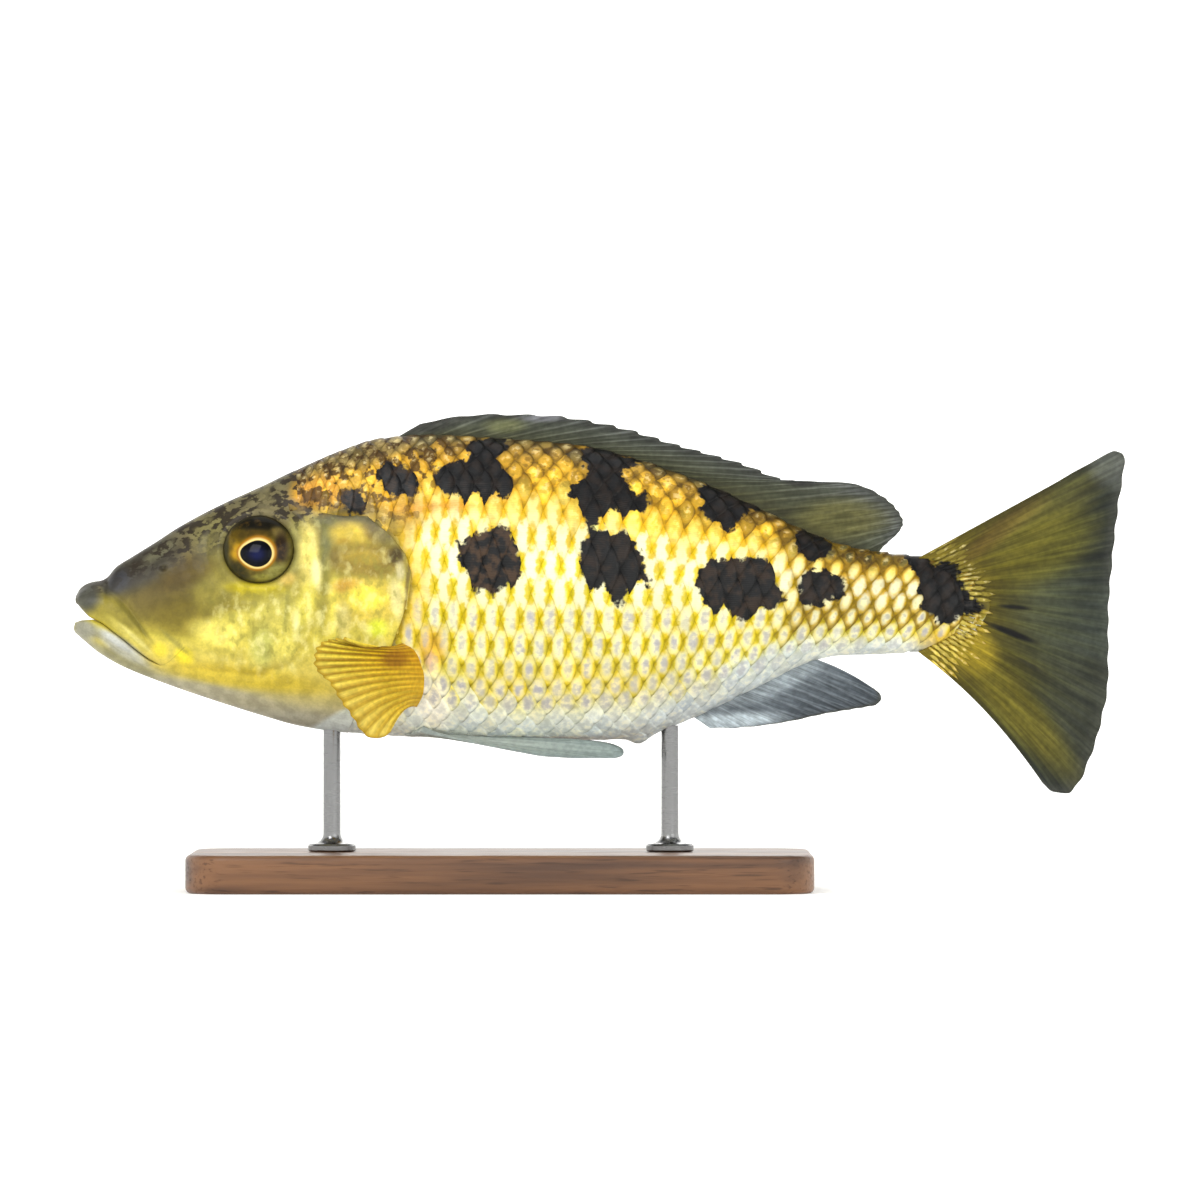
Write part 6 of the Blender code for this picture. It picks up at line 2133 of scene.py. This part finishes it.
@dataclass
class Stand:
    """A flat wooden base with rounded corners and a softened edge, and two turned rods."""

    form: BodyForm
    length: float = 130.0
    width: float = 62.0
    height: float = 8.0
    corner: float = 9.0
    rods: tuple[tuple[str, float], ...] = (("front", -56.0), ("rear", 14.6))
    rod_radius: float = 1.8
    foot_radius: float = 5.0
    foot_height: float = 1.6

    def base(self) -> Piece:
        """Makes the board: a cube, its corners rounded and its edges then softened.

        Returns:
            The board.
        """
        clear_selection()
        middle = sum(x for _, x in self.rods) / len(self.rods)
        bpy.ops.mesh.primitive_cube_add(size=1, location=(middle * MM, 0, self.height / 2 * MM))
        board = bpy.context.object
        board.name = board.data.name = "stand_board"
        board.scale = (self.length * MM, self.width * MM, self.height * MM)
        bpy.ops.object.transform_apply(location=True, rotation=True, scale=True)
        bpy.ops.object.mode_set(mode="EDIT")
        shape = bmesh.from_edit_mesh(board.data)
        for edge in shape.edges:
            a, b = edge.verts
            edge.select_set(abs(a.co.z - b.co.z) > 0.5 * self.height * MM)
        bpy.ops.mesh.bevel(offset=self.corner * MM, segments=12)
        bpy.ops.object.mode_set(mode="OBJECT")
        soften = board.modifiers.new("softened edges", "BEVEL")
        soften.width, soften.segments = 1.2 * MM, 4
        soften.limit_method, soften.angle_limit = "ANGLE", math.radians(50)
        bpy.ops.object.modifier_apply(modifier=soften.name)
        bpy.ops.object.shade_smooth_by_angle(angle=math.radians(35))
        return board

    def rod(self, place: str, x: float) -> Piece:
        """Makes one rod: its profile spun round its axis, with its foot on the board.

        Args:
            place: Which rod it is.
            x: Where it stands.

        Returns:
            The rod.
        """
        foot = self.height + 0.1
        top = float(smooth_line(self.form.belly, x)) + 0.6
        profile = [(0.0, foot), (self.foot_radius - 0.3, foot), (self.foot_radius, foot + 0.3),
                   (self.foot_radius, foot + self.foot_height - 0.4),
                   (self.foot_radius - 0.4, foot + self.foot_height)]
        for step in range(7):
            angle = math.pi / 2 * step / 6
            profile.append((self.rod_radius + 2.2 * (1 - math.sin(angle)),
                            foot + self.foot_height + 2.2 * (1 - math.cos(angle))))
        profile += [(self.rod_radius, top), (0.0, top)]
        clear_selection()
        mesh = bpy.data.meshes.new(f"stand_rod_{place}_turned")
        mesh.from_pydata([(r * MM, 0, z * MM) for r, z in profile],
                         [(i, i + 1) for i in range(len(profile) - 1)], [])
        made = bpy.data.objects.new(mesh.name, mesh)
        bpy.context.scene.collection.objects.link(made)
        bpy.context.view_layer.objects.active = made
        made.select_set(True)
        bpy.ops.object.mode_set(mode="EDIT")
        bpy.ops.mesh.select_all(action="SELECT")
        bpy.ops.mesh.spin(steps=48, angle=2 * math.pi, center=(0, 0, 0), axis=(0, 0, 1))
        bpy.ops.mesh.select_all(action="SELECT")
        bpy.ops.mesh.remove_doubles(threshold=0.00001)
        bpy.ops.mesh.normals_make_consistent(inside=False)
        bpy.ops.object.mode_set(mode="OBJECT")
        made.location.x = x * MM
        bpy.ops.object.transform_apply(location=True, rotation=True, scale=True)
        bpy.ops.object.shade_smooth_by_angle(angle=math.radians(35))
        return made


@dataclass(frozen=True)
class StudioPaper(Finish):
    """Pale matt backdrop paper, which glows a little so that it stays near white."""

    name: str = "studio_paper"
    roughness: float = 0.9
    specular: float = 0.1
    glow: tuple[float, float] = (0.28, 0.75)  # under the fish and at the rim
    tones: tuple[str, str] = ("#f4f4f2", "#efefed")

    def make(self) -> Material:
        """Makes the finish of the floor.

        Returns:
            The material, brighter towards the rim.
        """
        made, add, place = self.start()
        tone = add(Node.BLEND, add(Node.NOISE, place, fineness(400.0), 2.0), *self.tones)
        glow = add(Node.RANGE, add(Node.LENGTH, place), 0.3, 2.5, *self.glow)
        return self.end(made, Base_Color=tone, Emission_Color=tone, Emission_Strength=glow)


@dataclass
class Studio:
    """A pale floor with a raised rim, soft lamps and the camera at the photograph's angle."""

    frame_width: float = 250.7
    middle_height: float = 60.6
    distance: float = 2000.0
    lamp_aim: tuple[float, float, float] = (0.0, 0.0, 0.06)  # in metres, as the lamps' places

    def floor(self) -> None:
        """A wide round floor that curves up at its rim, so that no horizon shows."""
        clear_selection()
        bpy.ops.mesh.primitive_circle_add(vertices=96, radius=3.0, fill_type="NGON")
        made = bpy.context.object
        made.name = "studio_floor"
        bpy.ops.object.mode_set(mode="EDIT")
        bpy.ops.mesh.select_all(action="SELECT")
        for step in range(1, 13):
            angle, before = math.pi / 2 * step / 12, math.pi / 2 * (step - 1) / 12
            grow = (3.0 + 0.9 * math.sin(angle)) / (3.0 + 0.9 * math.sin(before))
            rise = 0.9 * (math.cos(before) - math.cos(angle))
            if step == 1:
                bpy.ops.mesh.select_mode(type="EDGE")
            bpy.ops.mesh.extrude_edges_move(TRANSFORM_OT_translate={"value": (0, 0, rise)})
            bpy.ops.transform.resize(value=(grow, grow, 1), center_override=(0, 0, 0))
        bpy.ops.mesh.extrude_edges_move(TRANSFORM_OT_translate={"value": (0, 0, 2.0)})
        bpy.ops.object.mode_set(mode="OBJECT")
        bpy.ops.object.shade_smooth()
        made.data.materials.append(StudioPaper().make())

    def lamp(self, name: str, place: tuple[float, float, float], size: float, power: float) -> None:
        """Hangs a square soft lamp that faces the fish.

        Args:
            name: Its name.
            place: Where it hangs, in metres.
            size: Its side, in metres.
            power: Its power, in watts.
        """
        data = bpy.data.lights.new(name, "AREA")
        data.shape, data.size, data.energy = "SQUARE", size, power
        made = bpy.data.objects.new(name, data)
        made.location = place
        made.rotation_euler = (Vector(self.lamp_aim) - Vector(place)).to_track_quat("-Z", "Y").to_euler()
        made.visible_camera = False
        bpy.context.scene.collection.objects.link(made)

    def build(self) -> None:
        """Sets the floor, the lamps, the sky and the camera."""
        self.floor()
        self.lamp("key_lamp", (-0.55, -1.0, 1.05), 0.6, 7.6)
        self.lamp("fill_lamp", (0.9, -1.2, 0.7), 0.9, 2.7)
        self.lamp("top_lamp", (0.0, 0.2, 1.5), 1.0, 4.0)
        self.lamp("back_lamp", (0.2, 1.3, 0.9), 0.8, 3.6)
        world = bpy.data.worlds.new("pale_sky")
        bpy.context.scene.world = world
        world.use_nodes = True
        world.node_tree.nodes["Background"].inputs[0].default_value = linear("#f6f8fb")
        world.node_tree.nodes["Background"].inputs[1].default_value = 0.34
        data = bpy.data.cameras.new("camera")
        data.lens = data.sensor_width * self.distance / self.frame_width
        camera = bpy.data.objects.new("camera", data)
        camera.location = (0, -self.distance * MM, self.middle_height * MM)
        camera.rotation_euler = (math.pi / 2, 0, 0)
        bpy.context.scene.collection.objects.link(camera)
        bpy.context.scene.camera = camera
        bpy.context.scene.view_settings.view_transform = "Standard"


def median_fins() -> tuple[FlatFin, FlatFin, FlatFin]:
    """Sizes and colours the fins on the fish's middle plane.

    Returns:
        The dorsal, the anal and the tail fin.
    """
    dorsal = FlatFin(
        "dorsal_fin", "median_fin", ("fin_dorsal",),
        FinPaint(((0, "#34321e"), (0.3, "#3a3c2c"), (0.75, "#3f4239"), (1, "#30312f")),
                 ((0, "#444224"), (0.4, "#585a4a"), (1, "#5b5e5d")),
                 (Wash("#66602e", 50, 77.5, 18, 8, 0, 0.6),
                  Wash("#2a2a28", 42, 85.2, 6, 1.8, -4, 0.85),
                  Wash("#3a3a36", -36, 97.2, 16, 3.4, 12, 0.75),
                  Wash("#77794e", -20, 97, 8, 3, 0, 0.6),
                  Wash("#8f8f98", -12, 98.6, 8, 1.6, 0, 0.6))),
        rays=28, fine=10, rows=24, spines=0.62, branch_from=0.5, ripple=0.35, sink=-1.6,
        lean=((0, 0), (0.16, 0.28), (0.40, 0.56), (0.626, 0.79), (0.733, 0.885), (0.844, 0.938),
              (0.928, 0.965), (1, 1)),
        root=((-44.6, 94.9), (-36, 95.4), (-21, 94.6), (-5, 93.3), (10.4, 89.4), (21, 85.5),
              (31.3, 81), (41.8, 75.8), (50, 72.6), (57.4, 71)),
        tips=((-37.6, 97.4), (-31.3, 98.8), (-23, 99.5), (-11.5, 99.3), (2.5, 97.2), (16.9, 92.9),
              (30, 89.1), (40.9, 85.4), (50.8, 85.2), (54.6, 84.5), (59.5, 82), (62.5, 79),
              (63.4, 76.8), (62.2, 74.5), (59.6, 72.4)))
    anal = FlatFin(
        "anal_fin", "median_fin", ("fin_anal",),
        FinPaint(((0, "#949ea2"), (0.3, "#5a6167"), (0.8, "#3f454b"), (1, "#303439")),
                 ((0, "#9ea8ac"), (0.4, "#6c747a"), (1, "#4c5258")),
                 (Wash("#bcc8ce", 26, 35.2, 24, 3.6, 4, 0.85),
                  Wash("#a9b4ba", 38, 43, 16, 3, 28, 0.5))),
        rays=12, fine=14, rows=34, spines=0.2, spine_notch=0.03, ripple=0.3, sink=1.6, bow=0.7,
        lean=((0, 0), (0.5, 0.62), (1, 1)),
        root=((18.6, 35.2), (21, 36.5), (31.3, 41.4), (37.6, 44.6), (43.2, 47.3)),
        tips=((23, 33.8), (28, 33.8), (33.4, 34.3), (39.5, 35.2), (47, 36.8), (54.3, 38),
              (57.5, 38.6), (58.8, 39.7), (58.6, 40.9), (57, 42.2)))
    caudal = FlatFin(
        "caudal_fin", "tail_fin", ("fin_caudal",),
        FinPaint(((0, "#6f6018"), (0.25, "#423b10"), (0.6, "#2b2b16"), (0.85, "#222520"), (1, "#1c1f1e")),
                 ((0, "#766618"), (0.3, "#524c16"), (0.7, "#3a3c20"), (1, "#2a2d28")),
                 (Wash("#444b42", 98, 57, 26, 20, 0, 0.5),
                  Wash("#3b3d31", 101, 38, 18, 26, 20, 0.5),
                  Wash("#5c4a1e", 84, 75.4, 22, 4, 37, 0.7),
                  Wash("#6d6630", 94, 79, 26, 8, 38, 0.4),
                  Wash("#6c621a", 88, 37, 32, 8, -50, 0.65),
                  Wash("#6c6418", 93, 72, 22, 12, 30, 0.5),
                  Wash("#a08a20", 78, 50, 10, 8, -40, 0.7),
                  Wash("#5f625c", 106.5, 88.5, 8, 9, 40, 0.7),
                  Wash("#121110", 86.6, 59.1, 6.4, 0.9, -6, 0.95, 0.5),
                  Wash("#0e0d0c", 86.3, 53.6, 9.8, 1.3, -22, 1, 0.5),
                  Wash("#2c2b22", 90, 47, 6, 0.8, -30, 0.6, 0.5))),
        rays=16, fine=14, rows=52, notch=0.008, spine_notch=0.008, ripple=0.5, bow=2.4, root_half=1.6,
        branch_from=0.25,
        root=((66.5, 69.4), (74, 65), (76, 59.6), (74, 54), (66.5, 49.8)),
        tips=((106, 91), (107.8, 91.9), (109.3, 91.4), (109.7, 90), (108.4, 80.6), (107.2, 70),
              (106.3, 57), (106.3, 44.5), (104.6, 34.3), (101.6, 25.4), (99.8, 21.9), (98, 20.2),
              (95, 20.3), (92.4, 22.4)))
    return dorsal, anal, caudal


def paired_fins(form: BodyForm) -> tuple[PectoralFin, PelvicFin]:
    """Sizes and colours the fins that come in pairs.

    Args:
        form: The body that the pectoral fins stand on.

    Returns:
        The pectoral and the pelvic fin, each for both sides.
    """
    pectoral = PectoralFin(
        "pectoral_fin_left", "pectoral_fin", (),
        # The membrane stops are painted shade in the pleats' folds and the ray stops a painted highlight on
        # their crests.
        FinPaint(((0, "#b07c14"), (0.3, "#8c6410"), (0.8, "#8e6c16"), (1, "#93761e")),
                 ((0, "#c4941a"), (0.3, "#dcb622"), (0.8, "#ecd646"), (1, "#e8d458")),
                 # Painted shade where the fin's upper root meets the body.
                 (Wash("#7d4c10", -42.6, 48.4, 5, 3.6, 0, 0.6),), "#a5831c", 0.03,
                 ((0, "#cda024"), (0.4, "#b8921e"), (1, "#b99a34")),
                 ((0, "#d6ac2c"), (0.4, "#d8b836"), (1, "#dcc45c"))),
        rays=17, fine=9, rows=48, membrane_half=0.13, ray_half=0.22, root_half=0.9, pleat=0.34,
        pleat_fall=0.6, ridge_from=0.12, branch_from=0.7, form=form)
    pelvic = PelvicFin(
        "pelvic_fin_left", "pelvic_fin", (),
        FinPaint(((0, "#a6aba2"), (1, "#8a9794")), ((0, "#929a95"), (1, "#7c8886")), (), "#7e8a88"),
        rays=6, fine=14, rows=36, root_half=0.8, spine_notch=0.01)
    return pectoral, pelvic


def main() -> None:
    """Builds the fish, its stand and the studio."""
    logging.basicConfig(level=logging.INFO, format="%(name)s: %(message)s")
    form, head = BodyForm(), HeadForm()
    marks = Markings(form, head)
    Studio().build()
    skin = Skin(form, head, marks)
    hand_over(skin.build(), skin.nodes, WetSkin().make())
    coat = ScaleCoat(form, marks, skin.unwrap)
    plates = ScalePlate().make()
    for side, seed in ((Side.LEFT, 7), (Side.RIGHT, 11)):
        hand_over(coat.build(side, seed), (), plates)
    *_, caudal = flat_fins = median_fins()
    hand_over(TailScales(form, marks, caudal, skin.unwrap).build(), (), plates)
    membrane = FinSkin("grey_fin_membrane").make()
    for fin in flat_fins:
        hand_over(fin.build(), fin.nodes, membrane)
    for fin, finish in zip(paired_fins(form), (FinSkin("golden_fin_membrane", streak=0.12, patch=0.1),
                                               FinSkin("pale_fin_membrane", streak=0.1, patch=0.06))):
        dressed = finish.make()
        for side in Side:
            node = f"fin_{fin.slot.split('_')[0]}_{side.name.lower()}"
            hand_over(fin.build(side), (node,), dressed)
    gloss = EyeGloss().make()
    eye = Eye(head)
    for side in Side:
        hand_over(eye.build(side), (f"eye_{side.name.lower()}",), gloss)
    stand = Stand(form)
    hand_over(stand.base(), ("stand_base",), OiledWalnut().make())
    steel = TurnedSteel().make()
    for place, x in stand.rods:
        hand_over(stand.rod(place, x), (f"stand_rod_{place}",), steel)


if __name__ == "__main__":
    main()
